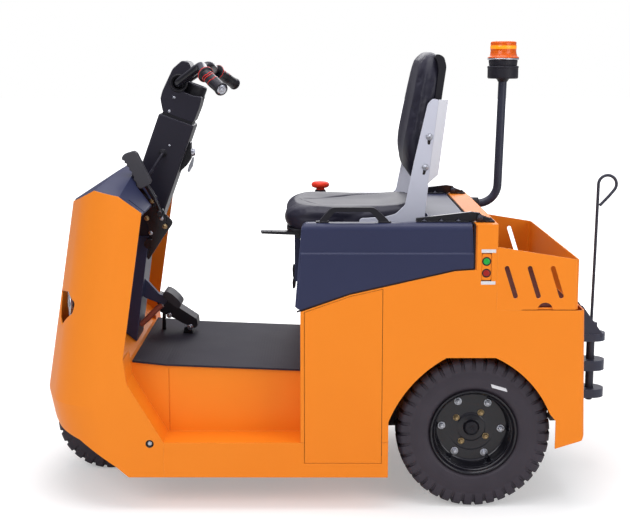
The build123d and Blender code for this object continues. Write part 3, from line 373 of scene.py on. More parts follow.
print("finishes made:", len(bpy.data.materials))


# The vehicle's pieces, in millimetres from under the rear axle

columnLean = math.radians(20)


def onColumn(shape):
    # from the steering column's own directions, across, sideways and along it, to the vehicle's
    u, v, w = np.asarray(shape[0], float).T
    x = 1035 + u * math.cos(columnLean) - w * math.sin(columnLean)
    z = 431 + u * math.sin(columnLean) + w * math.cos(columnLean)
    return np.stack([x, v, z], -1), shape[1]


def screw(centre, axis, size, height, washer=0.0):
    # a hexagon head with its corners turned down, a pressed washer under it and the end of its thread
    flat = [(0, height), (size * 0.80, height), (size, height * 0.82), (size, 0), (0, 0)]
    shapes = [turned(flat, centre, axis, 6)]
    if washer:
        ring = [(0, -0.2), (washer, -0.2), (washer, 1.3), (washer - 0.6, 1.9), (0, 1.9)]
        shapes.append(turned(ring, centre, axis, 28))
    thread = [(0, height + 3), (size * 0.42, height + 3), (size * 0.5, height + 2.2), (size * 0.5, 0), (0, 0)]
    shapes.append(turned(thread, centre, axis, 14))
    return shapes


def roundScrew(centre, axis, size):
    # a button head with a hexagon socket
    head = [(0, 0.9), (size * 0.42, 0.9), (size * 0.46, 2.6), (size * 0.75, 2.2), (size, 0.9), (size, -0.3),
        (0, -0.3)]
    return turned(head, centre, axis, 24)


tyres = {
    "rearProfile": [(35, 104), (38, 117), (46, 121), (52, 135), (53, 158), (51.2, 170), (49.2, 180),
        (46.5, 190), (41, 198), (20, 200), (0, 200)],
    "frontProfile": [(26, 60), (29, 72), (37, 76), (43.5, 88), (45, 108), (42.5, 126), (39.5, 136), (35, 142),
        (16, 143), (0, 143)],
    "rimFace": [(0, 0), (15, 0), (19, -1.5), (21, -4), (22, -6), (30, -7), (37, -8), (40, -9.5),
        (62, -10.5), (66, -9.5), (92, -9.5), (96, -7), (98.5, -1), (100, 10), (101, 22),
        (103, 27), (106, 29), (108.5, 33), (110.5, 39), (113, 42), (115.5, 45), (116.5, 47.5),
        (115.5, 49), (112.5, 48.5), (109.5, 45), (107, 41), (104.5, 38), (103.5, 38)],
    "rimBack": [(103.5, -38), (113, -43), (115.5, -41), (114, -37), (108, -33), (98, -28), (94, -26),
        (40, -26), (0, -26)],
    "rearRidges": (128, 150, 172), "frontRidges": (82, 118), "ridgeHeight": 0.9, "ridgeWidth": 1.9,
    "rearLugs": 40, "rearDepth": 7.5, "frontLugs": 26, "frontDepth": 6.5, "rearCentre": (0, 310, 207.5),
    "frontCentre": (1035, 0, 150),
    "rimBolts": (6, 3, 81), "wheelNuts": (4, 33, 48),      # how many, first angle, radius
    "lugShare": 0.72, "edgeShare": 0.07, "samplesPerLug": 14, "rows": 96,
}


def smoothRise(value, low, high):
    t = np.clip((value - low) / (high - low), 0, 1)
    return t * t * (3 - 2 * t)


def lugTyre(centre, halfProfile, ridges, lugs, depth, shoulder):
    # the profile is carried round; lugs, half a pitch apart on the two halves, push it out along its normal
    half = np.array(halfProfile, float)
    outline = softened(np.concatenate([half, half[-2::-1] * (-1, 1)]), 7, closed=False)
    along = np.concatenate([[0], np.cumsum(np.linalg.norm(np.diff(outline, axis=0), axis=1))])
    even = np.linspace(0, along[-1], tyres["rows"])
    y, r = np.interp(even, along, outline[:, 0]), np.interp(even, along, outline[:, 1])
    runY, runR = np.gradient(y), np.gradient(r)
    length = np.hypot(runY, runR)
    normalY, normalR = -runR / length * -1, -runY / length
    count = lugs * tyres["samplesPerLug"]
    turn = np.arange(count)[:, None] / tyres["samplesPerLug"]
    share = np.mod(turn + np.where(y > 0, 0.0, 0.5)[None, :], 1.0)
    blunt = tyres["edgeShare"]
    fall = smoothRise(share, tyres["lugShare"], tyres["lugShare"] + blunt)
    around = smoothRise(share, 0.0, blunt) * (1 - fall)
    across = smoothRise(np.abs(y), 1.5, 4.0) * smoothRise(r, shoulder - 5, shoulder + 1)
    lift = depth * around * across[None, :]
    wall = sum(np.exp(-((r - ridge) / tyres["ridgeWidth"]) ** 2) for ridge in ridges) * tyres["ridgeHeight"]
    lift = lift + wall[None, :]
    outY, outR = y[None, :] + lift * normalY[None, :], r[None, :] + lift * normalR[None, :]
    outR = np.minimum(outR, r.max() + depth)
    limit = np.abs(half[:, 0]).max()
    outY = np.clip(outY, -limit, limit)
    angle = 2 * np.pi * np.arange(count)[:, None] / count
    points = np.stack([outR * np.cos(angle), outY, outR * np.sin(angle)], -1) + np.asarray(centre, float)
    return points.reshape(-1, 3), gridFaces(count, tyres["rows"], closedRows=True, closedColumns=True)


def makeWheels():
    for side, sign in (("left", 1), ("right", -1)):
        x, y, z = tyres["rearCentre"]
        centre = (x, y * sign, z)
        tyre = lugTyre(centre, tyres["rearProfile"], tyres["rearRidges"], tyres["rearLugs"],
            tyres["rearDepth"], 176)
        makePiece(f"tyre_tread_{side}", [tyre], tyreRubber, f"rear_wheel_{side}", sharp=50,
            replacing=[f"tyre_{side}"])
        out = (0, sign, 0)
        disc = lathe(tyres["rimFace"] + tyres["rimBack"], 1.6, 4, centre, out, 96)
        makePiece(f"wheel_rim_{side}", [disc], blackEnamel, f"rear_wheel_{side}", sharp=40,
            replacing=[f"rim_{side}"])
        stub = turned([(0, 0), (16, 0), (16, -82), (0, -82)], centre, out, 32)
        makePiece(f"wheel_stub_{side}", [stub], chassisPaint, f"rear_wheel_{side}")
        rings = (("rim_bolts", tyres["rimBolts"], 9.5, (8.0, 8.5, 10.5), brightZinc),
            ("wheel_nuts", tyres["wheelNuts"], 10, (7.5, 9.5, 9.0), yellowZinc))
        for name, (count, first, radius), depth, sizes, finish in rings:
            heads = []
            for angle in np.radians(first + 360 / count * np.arange(count)):
                spot = (radius * math.cos(angle), centre[1] - depth * sign, z + radius * math.sin(angle))
                heads += screw(spot, out, *sizes)
            makePiece(f"{name}_{side}", heads, finish, f"rear_wheel_{side}", sharp=20)
        cap = [(0, 4), (4, 4), (5, 6), (14, 7), (18, 5), (19.5, 1), (20, -6), (0, -6)]
        makePiece(f"hub_cap_{side}", [lathe(cap, 1.2, 3, centre, out, 40)], blackNylon,
            f"rear_wheel_{side}")
        valve = turned([(0, 22), (3, 22), (3.4, 16), (4.2, 14), (4.2, 0), (0, 0)],
            (-42, centre[1] - 8 * sign, z - 78), out, 14)
        makePiece(f"valve_{side}", [valve], blackNylon, f"rear_wheel_{side}")
    sticker = slab(softened([(-88, 322), (-46, 334), (-43, 344), (-84, 332)], 1.5, 3), 361.4, 363.4)
    makePiece("tyre_plate", [sticker], whiteFilm, "rear_wheel_left", bevel=0.3)
    front = lugTyre(tyres["frontCentre"], tyres["frontProfile"], tyres["frontRidges"], tyres["frontLugs"],
        tyres["frontDepth"], 124)
    makePiece("tyre_tread_front", [front], tyreRubber, "front_wheel", sharp=50, replacing=["front_tyre"])
    for sign in (1, -1):
        cap = turned([(0, 31), (24, 31), (29, 28), (31, 22), (31, 5), (0, 5)], tyres["frontCentre"],
            (0, sign, 0), 36)
        makePiece(f"front_hub_{'left' if sign > 0 else 'right'}", [cap], blackEnamel, "front_wheel")


makeWheels()
print("wheels made")

column = {
    "headOutline": [(-47, 645), (-49, 690), (-46, 722), (-20, 716), (14, 718), (12, 746), (7, 786), (20, 801),
        (40, 798), (57, 768), (64, 700), (62, 676), (44, 645)],
    "headHalf": 58, "headEdge": 7.0,
    "gripInner": (-41, 195, 793), "gripOuter": (-105, 280, 772), "gripRadius": 16.6,
    "gauge": (-17, 0, 0), "box": [(-52, 236), (-52, 639), (52, 639), (52, 236)], "boxHalf": 64, "boxEdge": 13,
    "gaugeCup": [(0, 727), (24, 727), (24.5, 742), (26, 745), (30.5, 745), (32, 742), (32, 712), (0, 712)],
    "gaugeRim": [(24.5, 741), (25, 746.5), (28, 747.5), (31, 746.5), (31.5, 741)],
    "gaugeGlass": [(0, 743), (15, 742.5), (24.3, 740.5), (24.3, 739), (0, 741)],
    "lock": [(0, 0), (13, 0), (13, 3), (11.5, 4.5), (10.5, 14), (9, 16.5), (5.5, 17), (5, 15), (0, 15)],
    "lockPlate": [(-50, 488), (-50, 588), (-57, 586), (-72, 545), (-66, 520)],
    "key": [(-74, 549), (-78, 548), (-83, 524), (-79, 502), (-72, 503), (-71, 524)],
    "leverRod": [(5, 66, 536), (5, 80, 534), (12, 88, 500), (18, 92, 466)],
    "leverEnd": [(14.4, 89.6, 486), (16, 90.6, 478), (18.4, 92.2, 464)], "leverRoot": (5, 63, 536),
}


def chevron(start, axis, up, radius, place, width, reach, spread):
    # a V-shaped band on a round grip: its place along the axis falls off with the angle from the top
    axis = np.asarray(axis, float) / np.linalg.norm(axis)
    up = np.asarray(up, float) - axis * np.dot(up, axis)
    up /= np.linalg.norm(up)
    side = np.cross(axis, up)
    angle = np.linspace(-spread, spread, 25)[:, None]
    along = place + reach * (1 - np.abs(angle) / spread) + np.array([0, 0, width, width])[None, :]
    radii = np.array([radius - 1.5, radius + 0.7, radius + 0.7, radius - 1.5])[None, :]
    around = np.cos(angle)[..., None] * up + np.sin(angle)[..., None] * side
    points = np.asarray(start, float) + radii[..., None] * around + along[..., None] * axis
    return points.reshape(-1, 3), gridFaces(25, 4, closedColumns=True) + [[0, 1, 2, 3], [99, 98, 97, 96]]


def makeColumn():
    head = onColumn(slab(softened(column["headOutline"], 6), -column["headHalf"], column["headHalf"]))
    makePiece("head_cowl", [head], columnAbs, "steering_head", bevel=column["headEdge"],
        sharp=30, replacing=["head_housing"])
    collars = []
    for sign in (1, -1):
        ring = [(0, 0), (26, 0), (26, 3), (23, 5.5), (19, 4), (17, 1), (0, 1)]
        collars.append(onColumn(lathe(ring, 1, 3, (28, 57 * sign, 736), (0, sign, 0), 36)))
    makePiece("bar_collars", collars, blackNylon, "steering_head")
    post = onColumn(turned([(0, 600), (14, 600), (14, 652), (0, 652)], (0, 0, 0), (0, 0, 1), 28))
    skirt = onColumn(slab(softened([(-44, 638), (44, 638), (44, 647), (-44, 647)], 2), -55, 55))
    makePiece("head_bearing", [post, skirt], blackNylon, "steering_head", bevel=1.5)
    place, up = column["gauge"], (0, 0, 1)
    cup = onColumn(lathe(column["gaugeCup"], 1.2, 4, place, up, 48))
    makePiece("gauge_cup", [cup], blackNylon, "steering_head", replacing=["gauge"])
    rim = softened(column["gaugeRim"], 1, 4, closed=False).tolist()
    makePiece("gauge_rim", [onColumn(turned(rim + rim[:1], place, up, 48))], columnAbs, "steering_head")
    dial = onColumn(turned([(0, 729), (24.3, 729), (24.3, 726), (0, 726)], place, up, 40))
    makePiece("gauge_dial", [dial], dialAndShadeBlack, "steering_head")
    glass = onColumn(turned(column["gaugeGlass"], place, up, 40))
    makePiece("gauge_glass", [glass], lampGlass, "steering_head")
    needle = onColumn(slab([(-19, -3), (-16, -3), (-12, 16), (-13, 16)], 729, 730.4, across="z"))
    makePiece("gauge_needle", [needle], whiteFilm, "steering_head")
    inner, outer = np.array(column["gripInner"], float), np.array(column["gripOuter"], float)
    sleeves, bands, caps = [], [], []
    for sign in (1, -1):
        start, end = inner * (1, sign, 1), outer * (1, sign, 1)
        line = end - start
        reach = np.linalg.norm(line)
        r = column["gripRadius"]
        sleeve = [(0, 6), (20.5, 6), (22, 8), (22, 11), (20, 13.5), (r, 15), (r - 0.6, 40), (r + 0.4, 60),
            (r - 0.4, 80), (r, reach - 8), (r + 1.6, reach - 5), (r + 1.6, reach - 1), (r - 1, reach + 1),
            (0, reach + 1)]
        sleeves.append(onColumn(lathe(sleeve, 1.5, 4, start, line, 40)))
        for place in (20, 30, 52):
            bands.append(onColumn(chevron(start, line, (0.3, 0.9 * sign, 0.5), r, place, 2.4, 16, 1.7)))
        rib = [(20.3, 8), (22.5, 8.6), (22.5, 10.4), (20.3, 11), (20.3, 8)]
        bands.append(onColumn(turned(rib, start, line, 40)))
        cap = [(0, reach + 4.5), (5, reach + 4.5), (5.5, reach + 3), (11, reach + 3.4), (13.5, reach + 1.6),
            (13.5, reach), (0, reach)]
        caps.append(onColumn(turned(cap, start, line, 28)))
    makePiece("grip_sleeves", sleeves, gripRubber, "steering_head", replacing=["handlebar_grips"])
    makePiece("grip_chevrons", bands, redPlastic, "steering_head")
    makePiece("grip_caps", caps, brightZinc, "steering_head")
    barrel = onColumn(lathe(column["lock"], 0.6, 3, (-60, 0, 557), (-0.94, 0, 0.34), 36))
    makePiece("lock_barrel", [barrel], brightZinc, replacing=["key_switch"])
    makePiece("lock_bracket", [onColumn(slab(softened(column["lockPlate"], 5), -20, 20))], blackEnamel, bevel=2)
    makePiece("key", [onColumn(slab(softened(column["key"], 3), -1.3, 1.3))], brightZinc, bevel=0.5)
    rows = (("head", column["headHalf"], 4.2, ((27, 694), (27, 653)), "steering_head"),
        ("column", column["boxHalf"], 3.6, ((-5, 563), (-5, 420)), "chassis"))
    for name, half, size, spots, body in rows:
        dots = [onColumn(roundScrew((u, half * sign, w), (0, sign, 0), size))
            for sign in (1, -1) for u, w in spots]
        makePiece(f"{name}_screws", dots, brightZinc, body)
    boot = [(0, 12), (5.5, 12), (6.5, 8), (8, 7), (8.5, 4), (11, 3), (13.5, -1), (13.5, -7), (0, -7)]
    makePiece("lever_boot", [onColumn(lathe(boot, 0.8, 3, column["leverRoot"], (0, 1, 0), 28))], blackNylon)
    rod = onColumn(tube(softened(column["leverRod"], 8, closed=False), 4.2, 18))
    makePiece("direction_rod", [rod], columnAbs, replacing=["direction_lever"])
    knob = onColumn(tube(column["leverEnd"], 5.4, 20))
    makePiece("lever_knob", [knob], columnAbs, levels=1)
    box = slab(softened(column["box"], 7, 6), -column["boxHalf"], column["boxHalf"])
    makePiece("column_box", [onColumn(box)], columnAbs, "chassis", bevel=column["boxEdge"],
        sharp=30, replacing=["column_housing"])


makeColumn()
print("column made")


# Parking brake and pedals

brake = {
    "side": 170, "gripHalf": 15,
    "fingers": [(955, 935), (947, 924.4), (941.5, 917.6), (934.8, 906.8), (928, 896), (922.7, 882), (917, 866),
        (907, 848)],
    "palm": [(906, 847), (880, 860), (876, 868), (914, 946), (922, 952), (948, 944)],
    "plate": [(909, 824), (900, 831), (824, 757), (822, 748), (852, 705), (891, 645), (896, 650), (880, 700),
        (892, 742), (909, 790)],
    "strap": [(838, 762), (866, 800), (880, 798), (888, 782), (862, 738), (846, 730)],
    "bolts": ((878, 811, 154), (843, 741, 162), (894, 763, 154)), "studs": ((852, 764, 162), (884, 722, 154)),
}


def makeBrake():
    left, edge, grip = brake["side"], brake["fingers"], []
    for (x, z), (nextX, nextZ) in zip(edge[:-1], edge[1:]):
        grip += [(x, z), ((x + nextX) / 2 + 4.2, (z + nextZ) / 2 - 2.4)]
    body = slab(softened(grip + brake["palm"], 3.5), left - brake["gripHalf"], left + brake["gripHalf"])
    makePiece("parking_grip", [body], greyGrip, bevel=4.5, sharp=40, replacing=["parking_brake"])
    rod = tube(softened([(850, left, 770), (860, left, 800), (893, left, 862)], 10, closed=False), 5, 18)
    sleeve = tube([(868, left, 818), (884, left, 846), (894, left, 862)], 7.5, 18)
    makePiece("parking_rod", [rod, sleeve], blackEnamel)
    plate = slab(softened(brake["plate"], 6), 150, 154.5)
    strap = slab(softened(brake["strap"], 6), 158, 162.5)
    makePiece("parking_plates", [plate, strap], blackEnamel, bevel=0.8)
    hub = turned([(0, 178), (7, 178), (8.5, 176), (8.5, 163), (13, 162), (13, 152), (0, 152)], (856, 0, 778),
        (0, 1, 0), 30)
    post = turned([(0, 151), (14, 151), (14, 69), (0, 69)], (890, 0, 690), (0, 1, 0), 28)
    makePiece("parking_pivot", [hub, post], blackEnamel)
    bolts, studs = [], []
    for x, z, y in brake["bolts"]:
        bolts += screw((x, y, z), (0, 1, 0), 4.8, 5, 7)
    for x, z, y in brake["studs"]:
        studs += screw((x, y, z), (0, 1, 0), 4.2, 6, 6)
    makePiece("parking_bolts", bolts, yellowZinc, sharp=20)
    makePiece("parking_studs", studs, brightZinc, sharp=20)


pedals = {
    "brakePad": [(813, 496), (812, 504), (822, 518), (838, 533), (851, 540), (861, 538), (865, 530),
        (861, 522), (850, 511), (836, 499), (820, 489)],
    "brakeArm": [(852, 520), (878, 526), (908, 561), (926, 580), (926, 520), (916, 514), (864, 494),
        (854, 508)],
    "throttle": [(783, 424), (856, 473), (882, 492), (896, 497), (903, 478), (893, 446), (868, 436),
        (826, 412), (789, 396), (781, 404)],
}


def ribRow(first, last, count, size, low, high):
    # short bars side by side along a straight line in side view
    shapes = []
    first, last = np.array(first, float), np.array(last, float)
    run = (last - first) / np.linalg.norm(last - first)
    up = np.array([-run[1], run[0]])
    for place in np.linspace(0, 1, count):
        middle = first + (last - first) * place
        corners = [middle - run * size, middle + run * size, middle + run * size * 0.7 + up * size,
            middle - run * size * 0.7 + up * size]
        shapes.append(slab(corners, low, high))
    return shapes


def makePedals():
    pad = slab(softened(pedals["brakePad"], 5), -11, 71)
    makePiece("brake_pad", [pad] + ribRow((855, 541), (815, 506), 9, 1.9, -8, 68), pedalRubber, bevel=1.5,
        replacing=["brake_pedal"])
    arm = slab(softened(pedals["brakeArm"], 5), 21, 39)
    makePiece("brake_arm", [arm], navyAbs, bevel=2)
    cylinder = tube(softened([(936, 30, 434), (915, 30, 452), (890, 30, 478), (872, 30, 494)], 12,
        closed=False), 8.5, 22)
    makePiece("brake_cylinder", [cylinder], hoseRubber)
    wedge = slab(softened(pedals["throttle"], 4), -166, -94)
    ribs = ribRow((896, 499), (786, 426), 15, 1.8, -163, -97)
    makePiece("throttle_pad", [wedge] + ribs, pedalRubber, bevel=1.2, replacing=["accelerator_pedal"])
    foot = slab([(796, 377), (826, 378), (822, 398), (800, 402)], -160, -100)
    prop = slab([(880, 383), (892, 384), (890, 450), (880, 446)], -136, -124)
    makePiece("throttle_foot", [foot, prop], blackEnamel, bevel=1)
    pins = screw((803, -94, 400), (0, 1, 0), 6, 4, 9) + screw((866, -94, 436), (0, 1, 0), 5, 4, 8)
    pins += screw((803, -166, 400), (0, -1, 0), 6, 4, 9)
    makePiece("throttle_pins", pins, brightZinc, sharp=20)


makeBrake()
makePedals()
print("brake and pedals made")


# Seat: cushion and backrest are drawn as closed forms and then blown up a little as cloth

seat = {
    "cushion": [(515, 752), (517, 774), (505, 793), (470, 798), (400, 796), (250, 795), (150, 802), (130, 798),
        (123, 784), (122, 752), (130, 742), (160, 738), (480, 735), (504, 738)],
    "back": [(104, 1226), (122, 1221), (133, 1202), (150, 1120), (166, 1040), (177, 980), (180, 945),
        (174, 905), (162, 872), (152, 866), (143, 874), (124, 912), (106, 950), (94, 1050), (88, 1120),
        (84, 1170), (84, 1210)],
    "pan": [(128, -176), (128, 176), (330, 190), (494, 190), (506, 150), (506, -150), (494, -190), (330, -190)],
    "shell": [(104, 1205), (96, 1214), (78, 1206), (71, 1180), (82, 1100), (98, 942), (146, 868), (156, 866),
        (112, 950), (100, 1100), (92, 1170), (96, 1196)],
    # each seam's run on the left, its depth and its width
    "cushionSeams": (
        ([(150, 164, 800), (200, 160, 796), (300, 138, 795), (390, 96, 796), (452, 40, 797), (466, 0, 798)],
            4.0, 5.0),
        ([(130, 196, 776), (250, 198, 772), (340, 212, 770), (430, 214, 770), (496, 196, 772), (515, 150, 774)],
            2.6, 4.0)),
    "backSeams": (
        ([(156, 95, 890), (172, 128, 950), (160, 134, 1060), (140, 128, 1150), (124, 96, 1205)], 3.0, 5.0),
        ([(140, 176, 900), (150, 190, 960), (140, 190, 1060), (122, 184, 1150), (116, 160, 1200)], 2.4, 4.0)),
    "voxel": 5.0, "pressure": 4.0, "frames": 16, "cap": 6.0, "fill": 0.7,
}


def padForm(outline, centre, halfWidth, power, columns=45):
    # a silhouette drawn in towards its centre by (1 - |v|^power)^(1/power) as v goes from side to side
    ring = softened(outline, 14, 6)
    v = np.sin(np.linspace(-math.pi / 2, math.pi / 2, columns))
    shrink = (1 - np.abs(v) ** power) ** (1 / power)
    centre = np.asarray(centre, float)
    flat = centre + (ring[:, None, :] - centre) * shrink[None, :, None]
    wide = halfWidth(flat[..., 0], flat[..., 1]) * v[None, :]
    points = np.stack([flat[..., 0], wide, flat[..., 1]], -1)
    return points.reshape(-1, 3), gridFaces(len(ring), columns, closedRows=True)


def swell(piece):
    # remeshed evenly and blown up by the cloth solver; no point moves further than the cap
    remesh = piece.modifiers.new("even", "REMESH")
    remesh.mode, remesh.voxel_size = "VOXEL", seat["voxel"] / 1000
    applyModifiers(piece)
    count = len(piece.data.vertices)
    before = np.empty(count * 3)
    piece.data.vertices.foreach_get("co", before)
    cloth = piece.modifiers.new("cloth", "CLOTH")
    cloth.settings.use_pressure, cloth.settings.uniform_pressure_force = True, seat["pressure"]
    cloth.settings.effector_weights.gravity = 0
    scene = bpy.context.scene
    for step in range(1, seat["frames"] + 1):
        scene.frame_set(step)
    graph = bpy.context.evaluated_depsgraph_get()
    swollen = piece.evaluated_get(graph).to_mesh()
    after = np.empty(count * 3)
    swollen.vertices.foreach_get("co", after)
    piece.modifiers.clear()
    scene.frame_set(1)
    move = (after - before).reshape(-1, 3)
    length = np.linalg.norm(move, axis=1, keepdims=True) + 1e-9
    cap = seat["cap"] / 1000
    move *= np.minimum(length, cap) / length
    piece.data.vertices.foreach_set("co", (before.reshape(-1, 3) + move).ravel())
    piece.data.update()
    piece.data.shade_smooth()


def applyModifiers(piece):
    graph = bpy.context.evaluated_depsgraph_get()
    shaped = bpy.data.meshes.new_from_object(piece.evaluated_get(graph))
    piece.modifiers.clear()
    shaped.materials.clear()
    shaped.materials.append(piece.data.materials[0])
    piece.data = shaped


def sewn(piece, line, depth, width):
    # points near a line of stitching go in along their normals by depth * exp(-(distance / width)^2)
    mesh = piece.data
    count = len(mesh.vertices)
    spots, normals = np.empty(count * 3), np.empty(count * 3)
    mesh.vertices.foreach_get("co", spots)
    mesh.vertex_normals.foreach_get("vector", normals)
    spots, normals = spots.reshape(-1, 3), normals.reshape(-1, 3)
    run = np.asarray(line, float) / 1000
    run[:, 0] += axleX
    near = np.full(count, 1e9)
    for a, b in zip(run[:-1], run[1:]):
        t = np.clip(((spots - a) @ (b - a)) / ((b - a) @ (b - a)), 0, 1)[:, None]
        near = np.minimum(near, np.linalg.norm(spots - (a + t * (b - a)), axis=1))
    push = depth / 1000 * np.exp(-(near / (width / 1000)) ** 2)
    mesh.vertices.foreach_set("co", (spots - normals * push[:, None]).ravel())
    mesh.update()


def sewSeams(piece, seams):
    for sign in (1, -1):
        for line, depth, width in seams:
            run = softened([(x, y * sign, z) for x, y, z in line], 30, closed=False)
            sewn(piece, run, depth, width)


def soften(piece):
    finer = piece.modifiers.new("finer", "SUBSURF")
    finer.levels = finer.render_levels = 1


def makeSeat():
    def cushionWidth(x, z):
        return 190 + 27 * smoothRise(x, 290, 370) - 26 * smoothRise(x, 440, 520)

    points, faces = padForm(seat["cushion"], (325, 770), cushionWidth, 7)
    top = smoothRise(points[:, 2], 772, 800)
    dish = np.exp(-(points[:, 1] / 128) ** 4) * smoothRise(points[:, 0], 140, 230)
    dish *= 1 - smoothRise(points[:, 0], 400, 500)
    points[:, 2] -= 13 * top * dish
    cushion = makePiece("seat_pad", [(points, faces)], seatVinyl, "hood", sharp=60, replacing=["seat_cushion"])
    swell(cushion)
    sewSeams(cushion, seat["cushionSeams"])
    sewn(cushion, [(515, -150, 774), (515, 150, 774)], 2.6, 4.0)
    soften(cushion)
    pan = slab(softened(seat["pan"], 26), 729, 738, across="z")
    makePiece("seat_pan", [pan], blackNylon, "hood", bevel=2)

    def backWidth(x, z):
        return 190 - 14 * smoothRise(z, 1100, 1230) - 10 * (1 - smoothRise(z, 870, 980))

    points, faces = padForm(seat["back"], (138, 1040), backWidth, 5.5)
    hollow = np.exp(-(points[:, 1] / 105) ** 4) * smoothRise(points[:, 0], 132, 165)
    hollow *= smoothRise(points[:, 2], 900, 980) * (1 - smoothRise(points[:, 2], 1120, 1190))
    points[:, 0] -= 11 * hollow
    backrest = makePiece("back_pad", [(points, faces)], seatVinyl, "hood", sharp=60,
        replacing=["seat_backrest"])
    swell(backrest)
    sewSeams(backrest, seat["backSeams"])
    soften(backrest)
    shell = slab(softened(seat["shell"], 8), -181, 181)
    makePiece("seat_shell", [shell], blackNylon, "hood", bevel=7, sharp=40)


makeSeat()
print("seat made")


# Seat carrier, handle, stop button, latch and the hood's seal

carrier = {
    "side": [(110, 1094), (93, 1092), (120, 864), (118, 859), (126, 779), (126, 709), (303, 709), (306, 764),
        (300, 770), (238, 773), (206, 782), (181, 806), (158, 925), (123, 1080)],
    "fold": [(93, 1092), (120, 864)], "rear": [(66, 1091), (91, 888)],
    "inside": 203, "thick": 5, "turnIn": 11, "foot": 235,
    "bolts": ((117, 992, 2), (127, 910, 5)), "footBolts": (160, 260),
}


def foldedFlange(sign):
    # the strip behind the fold, turned inwards so that it catches the light from behind
    (x1, z1), (x2, z2) = carrier["fold"]
    (x3, z3), (x4, z4) = carrier["rear"]
    y = carrier["inside"]
    corners = []
    for level in (y, y + carrier["thick"]):
        corners += [(x1, level, z1), (x3, level - carrier["turnIn"], z3), (x4, level - carrier["turnIn"], z4),
            (x2, level, z2)]
    points = np.array(corners) * (1, sign, 1)
    faces = [[0, 1, 2, 3], [7, 6, 5, 4], [0, 4, 5, 1], [1, 5, 6, 2], [2, 6, 7, 3], [3, 7, 4, 0]]
    return points, faces


def makeCarrier():
    y, thick, edge = carrier["inside"], carrier["thick"], carrier["foot"]
    plates, flanges, bolts, slots = [], [], [], []
    for sign in (1, -1):
        plates.append(slab(softened(carrier["side"], 5, 4), sign * y, sign * (y + thick)))
        foot = [(x, sign * reach) for x, reach in ((126, y), (300, y), (300, edge), (126, edge))]
        plates.append(slab(foot, 708.5, 713, across="z"))
        flanges.append(foldedFlange(sign))
        for x, z, lean in carrier["bolts"]:
            bolts += screw((x, sign * (y + thick), z), (0, sign, 0), 6.6, 5.5, 9.5)
            # each slot is a thin near-black patch on the plate's face: painted shade for the opening
            slot = [(x - 4 + lean, z - 21), (x + 3 + lean, z - 21), (x + 5, z - 4), (x - 4, z - 4)]
            slots.append(slab(softened(slot, 3), sign * (y + thick - 0.5), sign * (y + thick + 0.25)))
        for x in carrier["footBolts"]:
            bolts += screw((x, sign * 222, 713), (0, 0, 1), 6, 5, 10)
    back = slab([(72, 1083), (68, 1083), (93, 894), (97, 894)], -y + 8, y - 8)
    makePiece("seat_side_plates", plates, greyEnamel, "hood", bevel=1, replacing=["seat_bracket"])
    makePiece("seat_flanges", flanges + [back], paleEnamel, "hood", bevel=0.8)
    makePiece("seat_bolts", bolts, brightZinc, "hood", sharp=20)
    makePiece("seat_slots", slots, dialAndShadeBlack, "hood")


fittings = {
    "strap": [(418, 780), (388, 814), (378, 819), (276, 819), (266, 814), (230, 780), (258, 780), (281, 807),
        (375, 807), (396, 780)],
    "strapSides": (347, 367), "strapFeet": (227, 390), "stopPlace": (411, -362, 0),
    "stopHead": [(0, 815), (10, 814.8), (22, 813), (28, 808), (28.5, 803), (27, 797.5), (20, 794), (14, 794),
        (13, 791), (13, 784), (0, 784)],
    "stopCollar": [(0, 788), (16, 788), (17, 786), (17, 782), (19, 781), (19, 778.2), (0, 778.2)],
    "latchBase": [(471, 562), (486, 562), (486, 706), (480, 716), (470, 716)],
    "latchToggle": [(482, 602), (490, 608), (493, 600), (492, 575), (489, 568), (493, 560), (492, 537),
        (484, 541), (482, 558)],
    "belt": [(474, 545.5), (465, 548.5), (335, 593.5), (61, 656.5), (10.5, 660), (10.5, 774)],
    "hingeSide": 341, "armBolts": (50, 95, 140),
}


